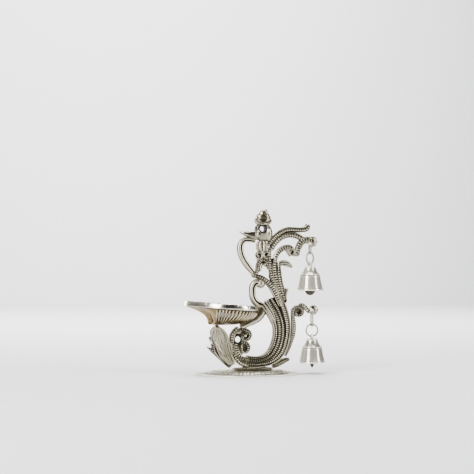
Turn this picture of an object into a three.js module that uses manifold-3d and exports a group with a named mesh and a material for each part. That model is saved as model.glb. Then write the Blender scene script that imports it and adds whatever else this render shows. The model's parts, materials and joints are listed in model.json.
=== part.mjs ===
// Peacock oil lamp stand: an oval foot, an openwork frame of curling feather strands, a fluted
// bowl held out in front of it, and two bells that hang behind it on links and rings.
// Millimetres, +Z up. The origin is the middle of the foot's flat underside. The bowl's spout
// points to -X, the bells hang at +X, and the front faces -Y.

import * as THREE from "three";
import { mergeVertices } from "three/addons/utils/BufferGeometryUtils.js";
import Module from "manifold-3d";

const wasm = await Module();
wasm.setup();

// Gaps
const SEAM_GAP = 0.3; // between two castings that are soldered or seated together
const RUNNING_GAP = 0.4; // between wires that swing on each other

// Foot
const FOOT_LENGTH = 106;
const FOOT_WIDTH = 68;
const FOOT_HEIGHT = 4;
const FLANGE_THICKNESS = 1.6;
const PLATEAU_LENGTH = 81;
const PLATEAU_SLOPE = 4; // run of the plateau's sloping side
const FOOT_SIDES = 36;

// Screws that hold the frame on the foot, from below
const SCREW_RADIUS = 1.5;
const SCREW_HEAD_RADIUS = 2.8;
const SCREW_HEAD_HEIGHT = 1.5;
const SCREW_GRIP = 2.4; // length of thread inside the frame
const SCREW_PLACES = [8, 20];
const SCREW_SIDES = 12;

// Frame, front to back
const TAIL_DEPTH = 9;
const FRAME_DEPTH = 8;
const THIN_DEPTH = 6;
const BRACKET_DEPTH = 5;
const DEEPEST_SHARE = 2.2; // no strand is deeper than this many times its width
const STRAND_SIDES = 6;
const TAIL_SIDES = 8;
const LUMP_SIDES = 10;
const RING_SPACING = 7.5; // along a strand
const VOLUTE_SPACING = 3; // along a volute
const SECTION_POWER = 0.8; // below 1 the strand's section is fuller than an ellipse

// Sole of the frame, the low bar that stands on the foot
const SOLE_LENGTH = 44;
const SOLE_MIDDLE = 5;
const SOLE_WIDTH = 8;
const SOLE_HEIGHT = 4.4;

// Strands of the tail, in the plane of the frame. Each point is [x, z above the foot, width].
const TAIL_INNER = [
  [16.3, 67, 3.5], [22, 58, 4.6], [26.3, 49, 5], [28.1, 39, 5], [26.9, 29.5, 4.8],
  [23.4, 21, 4.4], [18.3, 15.4, 3.8], [12, 12.9, 3.4], [5, 12.6, 3.4], [-1.7, 13.7, 3.6],
];
const TAIL_SECOND = [
  [19.7, 70, 3.4], [26, 59.5, 4], [30.5, 50, 4.2], [32.2, 39.5, 4.2], [31, 29, 4],
  [27.3, 19.5, 3.8], [21.4, 12.9, 3.6], [14, 9.9, 3.4], [5.5, 9.4, 3.4], [-2.2, 10.6, 3.6],
];
const TAIL_THIRD = [
  [23.5, 71.5, 3.4], [29, 63, 3.6], [33.7, 52, 3.8], [35.8, 40.5, 3.8], [34.6, 28.5, 3.8],
  [30.6, 18, 3.6], [24, 10.8, 3.2], [16, 7.9, 3], [6.5, 7.2, 3], [-2.4, 8.4, 3],
];
const TAIL_OUTER = [
  [30.3, 73, 6.4], [35.2, 63.6, 6.6], [39.1, 52.7, 6.6], [40.7, 41.7, 6.2], [39.5, 30.8, 6],
  [36.7, 20.8, 6], [31.5, 13, 5.6], [24.6, 8.2, 4.8], [16, 5.8, 4.6], [7, 5.1, 4.6], [-2.6, 6.2, 4.6],
];
const REAR_LEAF = [[25, 2.6, 3], [31, 6, 5], [38, 9.6, 4.4], [42.9, 10.6, 1.2]];

// Front scroll, left of the tail
const BEADED_BAND = [
  [-3.4, 6.8, 5], [-7.6, 9.6, 5], [-12.6, 16.2, 5], [-15.4, 26, 4.8], [-14.8, 35, 4.8], [-9, 41.6, 5.4],
];
const INNER_BAND = [[-3, 12.4, 4.6], [-7.8, 14.4, 5], [-10.8, 19, 5], [-11.6, 25.8, 4.2]];
const SCROLL_WEB = { x: -7.6, z: 20.6, rx: 4.2, rz: 6.4 };
const UPPER_VOLUTE = { x: -2.4, z: 34.6, reach: 5.4, eye: 1.4, from: 84, turns: -1.2, width: 3.3 };
const UPPER_VOLUTE_LEAD = [[-11, 39.4, 3.6], [-6.4, 41, 3.6]];
const LOWER_VOLUTE = { x: -2.2, z: 22.6, reach: 5, eye: 1.4, from: 190, turns: -1.2, width: 3 };
const LOWER_VOLUTE_LEAD = [[-9.6, 14.6, 3], [-8.4, 18, 3.4]];
const VOLUTE_STEPS = 8; // points in one turn of a volute

// Arm and shoulder behind the bowl
const BOWL_ARM = [[-5.6, 42.6, 5.6], [2.5, 47, 6.4], [9, 52.6, 7], [12.6, 58.6, 8], [13.6, 63.6, 8]];

// Throat curl above the bowl
const THROAT_CURL = [
  [13.8, 86.5, 7.6], [9, 87.6, 7], [5.4, 84, 6.8], [4.8, 78, 6.4], [5.6, 71.6, 6.4], [9.6, 66.6, 6.6],
  [15.4, 64.6, 5.6],
];
const THROAT_BALL_RADIUS = 4;

// Neck strands, from the tail up to the head
const NECK_ROPE = [[6.5, 94.6, 4], [14.5, 91.8, 4.8], [22.4, 85.4, 5.6], [27.4, 78.6, 6.2], [30.1, 73.6, 6.4]];
const NECK_FRONT = [[22.4, 123, 2.6], [22.8, 108, 3], [24.2, 95, 3.6], [26.8, 87, 4], [30, 78, 4]];
const NECK_MIDDLE = [[28.2, 112, 3.6], [27.2, 104.6, 5], [27.8, 96, 5.2], [30, 87, 5.2], [32.8, 76, 5]];
const NECK_BACK = [[31.4, 107, 3], [31.8, 98, 4.2], [33.6, 88.6, 4.4], [36, 79, 4], [37.6, 71.4, 2.6]];
const NECK_LEAF = [[31, 103, 3.4], [33.4, 107.6, 3.8], [38.6, 108.2, 3.6], [43, 105.6, 2.6], [45.4, 103, 0.9]];
const NECK_BUD = { x: 39.2, z: 79.6, radius: 2.6, stem: [[38.6, 71, 1.8], [39.2, 76, 2.4], [39.2, 79, 3]] };

// Neck panel between the head and the throat
const COLLAR = [[14.6, 119, 10.4], [14.2, 124, 9.4], [14, 129, 10]];
const PANEL_LEFT_VOLUTE = { x: 11, z: 114.6, radius: 3.7 };
const PANEL_RIGHT_VOLUTE = { x: 18.6, z: 115.2, radius: 3.7 };
const PANEL_ARCH = [
  [7.4, 96.2, 4], [9.8, 99.6, 4.2], [10.6, 105, 4.4], [13.4, 109.6, 4.4], [17, 109.8, 4.2], [20, 106, 3.4],
  [21, 100.6, 2.2],
];
const PANEL_WEB = { x: 15, z: 111.6, rx: 5.6, rz: 4 };
const KNOT = { x: 6.2, z: 95, radius: 2.9 };

// Garland that hangs from the beak
const BEAK_LOOP = [
  [8, 128.4, 4], [2, 130.6, 4.6], [-4.4, 130.2, 5.2], [-7.4, 124.6, 6], [-7.3, 118, 6.2],
  [-4, 109.6, 6], [1.6, 101.8, 5.2], [6, 96.4, 3.6],
];

// Head and crest
const HEAD_DEPTH = 13.5;
const SKULL_SIDES = 12;
const SKULL = { x: 15.4, z: 137.4, rx: 8.9, rz: 9.6 };
const NAPE = { x: 20.8, z: 136.3, rx: 4.6, rz: 7.6 };
const CHEEK = { x: 11.2, z: 135, r: 4.6 };
const BEAK = [[11, 134.4, 9.6], [5.4, 134.6, 7.2], [0, 135.8, 4.8], [-4.6, 137.8, 3.2], [-9.2, 140.6, 1.2]];
const BEAK_DEPTH = 8;
const EYE = { x: SKULL.x - 0.5, z: SKULL.z + 3.8, radius: 3.3 };
const CREST = [
  [14.8, 143, 14], [14.8, 146.8, 19], [15.4, 150.6, 17], [16.2, 154, 12], [17.6, 157.8, 7], [19.4, 162, 1.4],
];
const CREST_SPACING = 3;
const CREST_DEPTH = 8;
const CREST_HOLLOW = { x: 15.2, z: 149.4, rx: 4.4, rz: 3.4, depth: 1.6 };

// Upper bracket and its boss
const CREST_STRAND = [
  [20.6, 124.6, 3.6], [26.4, 131.4, 4.4], [33.4, 137.2, 4.8], [40.8, 140.4, 4.2], [48, 140.4, 4], [56, 140.6, 3.6],
  [61.4, 141.6, 2.8], [63.8, 144.4, 1.2],
];
const MIDDLE_STRAND = [
  [23.4, 120, 4.4], [29, 128.2, 5], [36.4, 133.8, 5.2], [44.5, 135.8, 5.4], [51.4, 133.6, 4.8], [58, 133.4, 4.4],
  [65.4, 131, 4.6],
];
const LOWER_STRAND = [[27.6, 108.4, 3.6], [30.2, 116.6, 4.4], [36, 122, 4.6], [42, 123.4, 4.2], [46.4, 121.4, 3.6]];
const BRACKET_VOLUTE = { x: 45.2, z: 117.6, reach: 3.4, eye: 1.2, from: 80, turns: -1, width: 2.4 };
const BOSS_STRAND = [[46.4, 114.6, 3.4], [50.6, 117, 4.6], [52.4, 123.6, 5.2], [56, 129, 5], [62, 129.6, 5], [66, 128.6, 5]];
const UPPER_BOSS = { x: 66.6, z: 128.4, rx: 5.2, rz: 5.6 };
const UPPER_EYELET = { x: 64.2, z: 126 };

// Lower bracket and its boss
const BRACKET_STEM = [[38.2, 14, 2], [41.8, 22.4, 3.6], [44.4, 30, 4.2], [46.4, 36, 4], [46.9, 46, 4], [46.2, 54, 3.6], [47, 60, 3.6]];
const BRACKET_SCROLL = { x: 51.8, z: 57.8, reach: 5.7, eye: 1.6, from: 170, turns: -1.25, width: 3.4 };
const BRACKET_ARM = [[52.4, 65.4, 2.6], [57, 64.4, 4], [60.8, 60.6, 4.6], [64, 57.4, 5]];
const LOWER_BOSS = { x: 67.6, z: 59.8, rx: 5, rz: 5 };
const LOWER_EYELET = { x: 66, z: 59 };
const EYELET_RADIUS = 1.6;
const EYELET_FLARE = 0.35; // widening of the eyelet per millimetre toward its faces
const BOSS_DEPTH = 5;

// Leaf cup that carries the bowl: a trough that is open to the front
const LEAF_MIDRIB = [
  [-31.4, 42.8, 5], [-30.6, 38.4, 13], [-29, 33, 17.6], [-27.4, 28, 17], [-25.6, 22.6, 18.6],
  [-22.6, 15.8, 14.6], [-19.4, 10, 9.6], [-16, 5, 5],
];
const LEAF_LOBE = [[-41, 24, 1.2], [-35.6, 20.8, 4.6], [-27.6, 14.2, 6], [-20, 6.6, 5], [-17.4, 3.4, 3.4]];
const LEAF_DEPTH = 12;
const LEAF_WALL = 2;
const LEAF_ARC_POINTS = 7;
const LEAF_SPACING = 4.4;
const LEAF_KNOB_RADIUS = 2.6;

// Bowl
const BOWL_BACK = 40; // from the middle of the bottom to the back of the rim
const BOWL_SPOUT = 33.3; // from the middle of the bottom to the tip of the spout
const BOWL_BROADEST = 8; // how far behind the middle of the bottom the bowl is broadest
const BOWL_WIDTH = 50;
const BOWL_HEIGHT = 16.5; // up to the rim
const BOWL_RIM = 5.2;
const BOWL_RIM_LIP = 0.9; // the rim stands out from the fluted wall by this
const BOWL_WALL = 2;
const BOWL_TILT = 4.3; // degrees, spout up
const BOWL_X = -30.5;
const BOWL_SEAT = 45.4; // height of the bottom above the foot
const FLUTES = 17; // on each side
const FLUTE_DEPTH = 1;
const SPOUT_POINTS = 7; // on each side, past the flutes
const SPOUT_START = 0.66; // share of the half outline that the flutes take
const SPOUT_THROAT = 0.3; // how near the bottom the spout's steep part stands
const SPOUT_POWER = 1.2;
const BOWL_LEVELS = [0.03, 0.23, 0.5, 0.77, 1]; // shares of the height
const BOWL_INSIDE_LEVELS = [1, 0.5, 0.1];

// Links, rings and bells
const WIRE_RADIUS = 0.75;
const LINK_HALF_WIDTH = 3.6; // across the boss, to the middle of the wire
const LINK_SQUARENESS = 0.8; // below 1 the link's ends are flatter than an ellipse
const LINK_POINTS = 8; // in each half
const RING_POINTS = 18;
const EYE_POINTS = 8; // of the clapper's eye
const RING_RADIUS = 6; // to the middle of the wire
const WIRE_SIDES = 6;
const UPPER_LINK_HEIGHT = 9.4;
const LOWER_LINK_HEIGHT = 15;
const UPPER_RING_TURN = 42; // degrees about the vertical
const LUG_RADIUS = 2.9;
const LUG_THICKNESS = 2.4;
const LUG_HOLE_RADIUS = 1.65;
const LUG_DROP = 0.3; // the lug's hole hangs this much below the ring's wire
const NECK_DROP = 2.7; // from the ring's wire down to the top of the bell's neck
const BELL_HEIGHT = 24;
const BELL_RIM_RADIUS = 13.5;
const BELL_SHOULDER_RADIUS = 10.2;
const BELL_NECK_RADIUS = 5.8;
const BELL_SHOULDER_DROP = 8.4;
const BELL_RIM_BAND = 1.7;
const BELL_WALL = 1.3;
const BELL_CROWN = 3.2; // thickness of metal at the top of the bell
const BELL_SIDES = 22;
const STAPLE_WIRE = 0.55;
const STAPLE_HALF_WIDTH = 1.7;
const STAPLE_LEG = 1.4;
const CLAPPER_STEM_RADIUS = 0.8;
const CLAPPER_RADIUS = 5.6;
const CLAPPER_THICKNESS = 3.6;
const CLAPPER_SHOWS = 4.7; // how far the clapper hangs below the rim

// Colours
const OLD_SILVER = new THREE.MeshStandardMaterial({ color: 0x9b9a88, roughness: 0.38, metalness: 1 });
const BRIGHT_SILVER = new THREE.MeshStandardMaterial({ color: 0xd9d9cf, roughness: 0.2, metalness: 1 });
const STEEL = new THREE.MeshStandardMaterial({ color: 0x8d9094, roughness: 0.35, metalness: 1 });

const radians = THREE.MathUtils.degToRad;

// A closed geometry as a solid, with its faces turned outward.
function solidOf(geometry) {
  const bare = geometry.clone();
  bare.deleteAttribute("normal");
  bare.deleteAttribute("uv");
  const merged = mergeVertices(bare, 1e-4);
  const corners = new Uint32Array(merged.index.array);
  const make = () =>
    new wasm.Manifold(
      new wasm.Mesh({ numProp: 3, vertProperties: merged.attributes.position.array, triVerts: corners }),
    );
  const solid = make();
  if (solid.volume() > 0) return solid;
  for (let i = 0; i < corners.length; i += 3) [corners[i + 1], corners[i + 2]] = [corners[i + 2], corners[i + 1]];
  return make();
}

function union(solids) {
  return solids.reduce((all, one) => all.add(one));
}

// Cuts the neighbours away and keeps the main body, without the slivers that a cut leaves.
function seated(solid, ...neighbours) {
  const bodies = neighbours.reduce((rest, one) => rest.subtract(one), solid).decompose();
  return bodies.reduce((a, b) => (a.volume() > b.volume() ? a : b));
}

// Skin over rings of equally many points. It has a fan over each end, or it closes on itself.
function skin(rings, closed = false) {
  const count = rings[0].length;
  const middle = (ring) => ring.reduce((sum, p) => sum.add(p), new THREE.Vector3()).divideScalar(count);
  const points = [...rings.flat(), middle(rings[0]), middle(rings.at(-1))];
  const first = rings.length * count;
  const faces = [];
  for (let k = 0; k < count; k++) {
    const next = (k + 1) % count;
    for (let j = 0; j < rings.length - (closed ? 0 : 1); j++) {
      const a = j * count;
      const b = ((j + 1) % rings.length) * count;
      faces.push(a + k, a + next, b + next, a + k, b + next, b + k);
    }
    const top = first - count;
    if (!closed) faces.push(first, next, k, first + 1, top + k, top + next);
  }
  return new THREE.BufferGeometry().setFromPoints(closed ? rings.flat() : points).setIndex(faces);
}

// Strand along a route in the plane of the frame. It tapers from point to point and has round ends.
function strand(route, depth, grow = 0, sides = STRAND_SIDES, spacing = RING_SPACING) {
  const curve = new THREE.CatmullRomCurve3(
    route.map(([x, z]) => new THREE.Vector3(x, 0, z)),
    false,
    "centripetal",
  );
  const widths = new THREE.SplineCurve(route.map(([, , width], i) => new THREE.Vector2(i, width)));
  const spans = Math.ceil(curve.getLength() / spacing);
  const section = (t, shift, share) => {
    const along = curve.getTangent(t);
    const across = new THREE.Vector3(-along.z, 0, along.x);
    const width = Math.max(widths.getPoint(t).y, 0.4);
    const half = (width / 2) * share + grow;
    const front = (Math.min(depth, width * DEEPEST_SHARE) / 2) * share + grow;
    const centre = curve.getPoint(t).addScaledVector(along, shift * (width * 0.3 + grow));
    return Array.from({ length: sides }, (_, k) => {
      const turn = (2 * Math.PI * k) / sides;
      const fuller = (v) => Math.sign(v) * Math.abs(v) ** SECTION_POWER;
      const point = centre.clone().addScaledVector(across, half * fuller(Math.cos(turn)));
      point.y = front * fuller(Math.sin(turn));
      return point;
    });
  };
  const rings = Array.from({ length: spans + 1 }, (_, i) => section(i / spans, 0, 1));
  return solidOf(skin([section(0, -1, 0.6), ...rings, section(1, 1, 0.6)]));
}

// Route of a volute that winds in from its reach to its eye. Negative turns wind clockwise.
function voluteRoute({ x, z, reach, eye, from, turns, width }) {
  const steps = Math.round(Math.abs(turns) * VOLUTE_STEPS);
  return Array.from({ length: steps + 1 }, (_, i) => {
    const share = i / steps;
    const turn = radians(from) + 2 * Math.PI * turns * share;
    const radius = THREE.MathUtils.lerp(reach, eye, share);
    return [x + radius * Math.cos(turn), z + radius * Math.sin(turn), THREE.MathUtils.lerp(width, width * 0.6, share)];
  });
}

function volute(shape, depth, grow = 0, lead = []) {
  const web = disc({ x: shape.x, z: shape.z, radius: shape.reach }, depth * 0.55, grow);
  return strand([...lead, ...voluteRoute(shape)], depth, grow, STRAND_SIDES, VOLUTE_SPACING).add(web);
}

// Upright disc that faces the front
function disc({ x, z, radius }, depth, grow = 0) {
  const geometry = new THREE.CylinderGeometry(radius + grow, radius + grow, depth + 2 * grow, 10);
  return solidOf(geometry.translate(x, 0, 0).translate(0, 0, z));
}

// Domed lump
function lump({ x, z, rx, rz }, depth, grow = 0, sides = LUMP_SIDES) {
  const ball = new THREE.SphereGeometry(1, sides, sides / 2);
  ball.rotateX(Math.PI / 2).scale(rx + grow, depth / 2 + grow, rz + grow);
  return solidOf(ball.translate(x, 0, z));
}

// Hole along Y through the frame. The flare widens it toward both faces.
function drill({ x, z }, radius, flare = 0) {
  const reach = 2 * FRAME_DEPTH;
  const mouth = radius + flare * reach;
  const profile = [[0, -reach], [mouth, -reach], [radius, 0], [mouth, reach], [0, reach]];
  const points = profile.map(([r, y]) => new THREE.Vector2(r, y));
  return solidOf(new THREE.LatheGeometry(points, 16).translate(x, 0, z));
}

// Solid of revolution about Z, from [radius, z] points
function revolved(profile, sides) {
  const points = profile.map(([r, z]) => new THREE.Vector2(r, z));
  return new THREE.LatheGeometry(points, sides).rotateX(Math.PI / 2);
}

// Upright plug in the foot's frame of reference
function plug(x, low, high, radius) {
  const geometry = revolved([[0, low], [radius, low], [radius, high], [0, high]], SCREW_SIDES);
  return solidOf(geometry.translate(x, 0, 0));
}

// Foot

function footPlate() {
  const edge = FOOT_LENGTH / 2;
  const plateau = PLATEAU_LENGTH / 2;
  const profile = [
    [0, 0],
    [edge, 0],
    [edge, FLANGE_THICKNESS * 0.7],
    [edge - FLANGE_THICKNESS * 0.5, FLANGE_THICKNESS],
    [plateau + 0.6, FLANGE_THICKNESS + 0.2],
    [plateau, FLANGE_THICKNESS + 0.9],
    [plateau - PLATEAU_SLOPE, FOOT_HEIGHT],
    [0, FOOT_HEIGHT],
  ];
  const plate = solidOf(revolved(profile, FOOT_SIDES).scale(1, FOOT_WIDTH / FOOT_LENGTH, 1));
  return SCREW_PLACES.reduce((rest, x) => {
    const hole = plug(x, -1, FOOT_HEIGHT + 1, SCREW_RADIUS + SEAM_GAP);
    const recess = plug(x, -1, SCREW_HEAD_HEIGHT + 2 * SEAM_GAP, SCREW_HEAD_RADIUS + SEAM_GAP);
    return rest.subtract(hole).subtract(recess);
  }, plate);
}

function footScrew(x) {
  const head = plug(x, SEAM_GAP, SEAM_GAP + SCREW_HEAD_HEIGHT, SCREW_HEAD_RADIUS);
  return head.add(plug(x, SEAM_GAP, FOOT_HEIGHT + SCREW_GRIP, SCREW_RADIUS));
}

// Frame. Heights here are above the foot's top; each casting is cut clear of the one that it is soldered to.

function soleBar(grow = 0) {
  const radius = SOLE_WIDTH / 2 + grow;
  const reach = SOLE_LENGTH / 2 - SOLE_WIDTH / 2;
  const outline = new THREE.Shape();
  outline.absarc(reach, 0, radius, -Math.PI / 2, Math.PI / 2);
  outline.absarc(-reach, 0, radius, Math.PI / 2, 1.5 * Math.PI);
  const bar = new THREE.ExtrudeGeometry(outline, { depth: SOLE_HEIGHT + grow, bevelEnabled: false, curveSegments: 6 });
  return solidOf(bar.translate(SOLE_MIDDLE, 0, 0));
}

function tailSweep(grow = 0) {
  const bundle = [
    strand(TAIL_INNER, TAIL_DEPTH, grow, TAIL_SIDES),
    strand(TAIL_SECOND, TAIL_DEPTH - 0.6, grow, TAIL_SIDES),
    strand(TAIL_THIRD, TAIL_DEPTH - 2, grow, TAIL_SIDES),
    strand(TAIL_OUTER, TAIL_DEPTH, grow, TAIL_SIDES),
    soleBar(grow),
  ];
  const holes = SCREW_PLACES.map((x) =>
    plug(x, -1, SCREW_GRIP + SEAM_GAP, SCREW_RADIUS + SEAM_GAP),
  );
  return grow ? union(bundle) : seated(union(bundle), ...holes);
}

function frontScroll(grow = 0) {
  return union([
    strand(BEADED_BAND, FRAME_DEPTH, grow),
    strand(INNER_BAND, FRAME_DEPTH - 1, grow),
    lump(SCROLL_WEB, THIN_DEPTH - 1.4, grow),
    volute(UPPER_VOLUTE, FRAME_DEPTH, grow, UPPER_VOLUTE_LEAD),
    volute(LOWER_VOLUTE, FRAME_DEPTH, grow, LOWER_VOLUTE_LEAD),
  ]);
}

function neckStrands(grow = 0) {
  const bud = { ...NECK_BUD, rx: NECK_BUD.radius, rz: NECK_BUD.radius };
  return union([
    strand(NECK_ROPE, FRAME_DEPTH, grow),
    strand(NECK_FRONT, FRAME_DEPTH - 1, grow),
    strand(NECK_MIDDLE, FRAME_DEPTH, grow),
    strand(NECK_BACK, FRAME_DEPTH - 1, grow),
    strand(NECK_LEAF, FRAME_DEPTH, grow),
    strand(NECK_BUD.stem, THIN_DEPTH, grow),
    lump(bud, 2 * NECK_BUD.radius, grow),
  ]);
}

function neckPanel(grow = 0) {
  return union([
    strand(COLLAR, THIN_DEPTH + 1, grow),
    disc(PANEL_LEFT_VOLUTE, THIN_DEPTH, grow),
    disc(PANEL_RIGHT_VOLUTE, THIN_DEPTH, grow),
    strand(PANEL_ARCH, THIN_DEPTH, grow),
    lump(PANEL_WEB, THIN_DEPTH - 1.4, grow),
    lump({ ...KNOT, rx: KNOT.radius, rz: KNOT.radius }, THIN_DEPTH, grow),
  ]);
}

function peacockHead(grow = 0) {
  const head = union([
    lump(SKULL, HEAD_DEPTH, grow, SKULL_SIDES),
    lump(NAPE, HEAD_DEPTH - 1.5, grow),
    lump({ ...CHEEK, rx: CHEEK.r, rz: CHEEK.r }, HEAD_DEPTH + 0.5, grow),
    strand(BEAK, BEAK_DEPTH, grow),
  ]);
  return grow ? head : head.subtract(drill(EYE, EYE.radius));
}

function crest(grow = 0) {
  const leaf = strand(CREST, CREST_DEPTH, grow, TAIL_SIDES, CREST_SPACING);
  const scoop = (side) =>
    lump({ ...CREST_HOLLOW }, 2 * CREST_HOLLOW.depth).translate([0, (side * CREST_DEPTH) / 2, 0]);
  return leaf.subtract(scoop(1)).subtract(scoop(-1));
}

function beakLoop(grow = 0) {
  return strand(BEAK_LOOP, FRAME_DEPTH, grow);
}

function throatCurl(grow = 0) {
  const [x, z] = THROAT_CURL[0];
  const ball = lump({ x, z, rx: THROAT_BALL_RADIUS, rz: THROAT_BALL_RADIUS }, 2 * THROAT_BALL_RADIUS, grow);
  return strand(THROAT_CURL, FRAME_DEPTH, grow).add(ball);
}

function bowlArm(grow = 0) {
  return strand(BOWL_ARM, FRAME_DEPTH, grow);
}

function rearLeaf(grow = 0) {
  return strand(REAR_LEAF, THIN_DEPTH, grow);
}

function upperBracket(grow = 0) {
  const bracket = union([
    strand(CREST_STRAND, BRACKET_DEPTH, grow),
    strand(MIDDLE_STRAND, THIN_DEPTH, grow),
    strand(LOWER_STRAND, THIN_DEPTH, grow),
    volute(BRACKET_VOLUTE, BRACKET_DEPTH, grow),
    strand(BOSS_STRAND, BRACKET_DEPTH, grow),
    lump(UPPER_BOSS, BOSS_DEPTH, grow),
  ]);
  return grow ? bracket : bracket.subtract(drill(UPPER_EYELET, EYELET_RADIUS, EYELET_FLARE));
}

function lowerBracket(grow = 0) {
  const bracket = union([
    strand(BRACKET_STEM, THIN_DEPTH, grow),
    volute(BRACKET_SCROLL, THIN_DEPTH, grow),
    strand(BRACKET_ARM, BRACKET_DEPTH, grow),
    lump(LOWER_BOSS, BOSS_DEPTH, grow),
  ]);
  return grow ? bracket : bracket.subtract(drill(LOWER_EYELET, EYELET_RADIUS, EYELET_FLARE));
}

// Trough of the leaf cup: crescent sections along its midrib, hollow side to the front.
function leafTrough() {
  const curve = new THREE.CatmullRomCurve3(
    LEAF_MIDRIB.map(([x, z]) => new THREE.Vector3(x, 0, z)),
    false,
    "centripetal",
  );
  const widths = new THREE.SplineCurve(LEAF_MIDRIB.map(([, , width], i) => new THREE.Vector2(i, width)));
  const spans = Math.ceil(curve.getLength() / LEAF_SPACING);
  const rings = Array.from({ length: spans + 1 }, (_, i) => {
    const t = i / spans;
    const along = curve.getTangent(t);
    const across = new THREE.Vector3(-along.z, 0, along.x);
    const centre = curve.getPoint(t);
    const half = widths.getPoint(t).y / 2;
    const depth = Math.min(LEAF_DEPTH, 2 * half);
    const arc = (radius, deep) =>
      Array.from({ length: LEAF_ARC_POINTS }, (_, k) => {
        const turn = (Math.PI * k) / (LEAF_ARC_POINTS - 1);
        const point = centre.clone().addScaledVector(across, radius * Math.cos(turn));
        point.y = deep * Math.sin(turn) - depth / 2;
        return point;
      });
    return [...arc(half, depth), ...arc(half - LEAF_WALL, depth - LEAF_WALL).reverse()];
  });
  return solidOf(skin(rings));
}

function leafCup() {
  const [x, z] = LEAF_MIDRIB[0];
  const knob = lump({ x, z, rx: LEAF_KNOB_RADIUS, rz: LEAF_KNOB_RADIUS }, 2 * LEAF_KNOB_RADIUS);
  return union([leafTrough(), strand(LEAF_LOBE, THIN_DEPTH), knob]);
}

// Bowl

// Outline of the bowl seen from above, from the middle of its bottom: share 0 is the back, 1 the spout's tip.
function bowlOutline(share, side) {
  const back = BOWL_BACK - BOWL_BROADEST;
  const front = BOWL_SPOUT + BOWL_BROADEST;
  const half = BOWL_WIDTH / 2;
  if (share <= 0.5) {
    const turn = share * Math.PI;
    return new THREE.Vector2(BOWL_BROADEST + back * Math.cos(turn), side * half * Math.sin(turn));
  }
  const run = 2 * share - 1;
  const narrowing = Math.max(Math.cos((run * Math.PI) / 2), 0) ** SPOUT_POWER;
  return new THREE.Vector2(BOWL_BROADEST - front * run, side * half * narrowing);
}

// The half outline's shares: two points to a flute, then the smooth spout.
function bowlShares() {
  const fluted = Array.from({ length: 2 * FLUTES }, (_, i) => (SPOUT_START * i) / (2 * FLUTES));
  const smooth = Array.from({ length: SPOUT_POINTS + 1 }, (_, i) =>
    THREE.MathUtils.lerp(SPOUT_START, 1, i / SPOUT_POINTS),
  );
  return [...fluted, ...smooth];
}

// How far out the wall stands at a level: a round bowl at the back, an S at the spout.
function bowlReach(level, share) {
  const round = Math.sqrt(1 - (1 - level) ** 2);
  const spout = SPOUT_THROAT + (1 - SPOUT_THROAT) * level ** 3;
  return THREE.MathUtils.lerp(round, spout, THREE.MathUtils.smoothstep(share, SPOUT_START - 0.04, 0.86));
}

function bowlRing(level, height, inset, flute) {
  const shares = bowlShares();
  const half = (side) =>
    shares.map((share, i) => {
      const rim = bowlOutline(share, side);
      const valley = i % 2 === 1 && share < SPOUT_START ? flute : 0;
      const reach = bowlReach(level, share) * rim.length() - inset - valley;
      const point = rim.setLength(Math.max(reach, 0.5));
      return new THREE.Vector3(point.x, point.y, height);
    });
  return [...half(1), ...half(-1).slice(1, -1).reverse()];
}

function bowlPlaced(geometry) {
  return solidOf(geometry.rotateY(radians(BOWL_TILT)).translate(BOWL_X, 0, BOWL_SEAT));
}

function bowl() {
  const top = BOWL_HEIGHT + BOWL_RIM;
  const outside = BOWL_LEVELS.map((level) =>
    bowlRing(level, level * BOWL_HEIGHT, 0, FLUTE_DEPTH * Math.sin(Math.PI * level ** 1.5)),
  );
  const rim = [
    bowlRing(1, BOWL_HEIGHT, -BOWL_RIM_LIP, 0),
    bowlRing(1, top, -BOWL_RIM_LIP, 0),
    bowlRing(1, top, BOWL_WALL * 0.7, 0),
  ];
  const inside = BOWL_INSIDE_LEVELS.map((level) =>
    bowlRing(level, THREE.MathUtils.lerp(BOWL_WALL, BOWL_HEIGHT, level), BOWL_WALL * level, 0),
  );
  return bowlPlaced(skin([...outside, ...rim, ...inside]));
}

// The bowl filled in and grown by the seam, to cut what carries it.
function bowlClearance() {
  const top = BOWL_HEIGHT + BOWL_RIM + SEAM_GAP;
  const floor = bowlRing(BOWL_LEVELS[0], -SEAM_GAP, -SEAM_GAP, 0);
  const wall = BOWL_LEVELS.map((level) => bowlRing(level, level * BOWL_HEIGHT - SEAM_GAP * (1 - level), -SEAM_GAP, 0));
  const rim = [BOWL_HEIGHT - SEAM_GAP, top].map((height) => bowlRing(1, height, -BOWL_RIM_LIP - SEAM_GAP, 0));
  return bowlPlaced(skin([floor, ...wall.slice(0, -1), ...rim]));
}

// Links, rings and bells. Each is made round its own pivot and then placed.

// Round wire along a route that lies in the plane with this normal. It closes on itself or has flat ends.
function wire(points, normal, radius, closed = true) {
  const curve = new THREE.CatmullRomCurve3(points, closed);
  const steps = closed ? points.length : points.length - 1;
  const rings = Array.from({ length: closed ? steps : steps + 1 }, (_, i) => {
    const side = new THREE.Vector3().crossVectors(curve.getTangent(i / steps), normal).normalize();
    return Array.from({ length: WIRE_SIDES }, (_, k) => {
      const turn = (2 * Math.PI * k) / WIRE_SIDES;
      const point = curve.getPoint(i / steps).addScaledVector(side, radius * Math.cos(turn));
      return point.addScaledVector(normal, radius * Math.sin(turn));
    });
  });
  return solidOf(skin(rings, closed));
}

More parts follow.
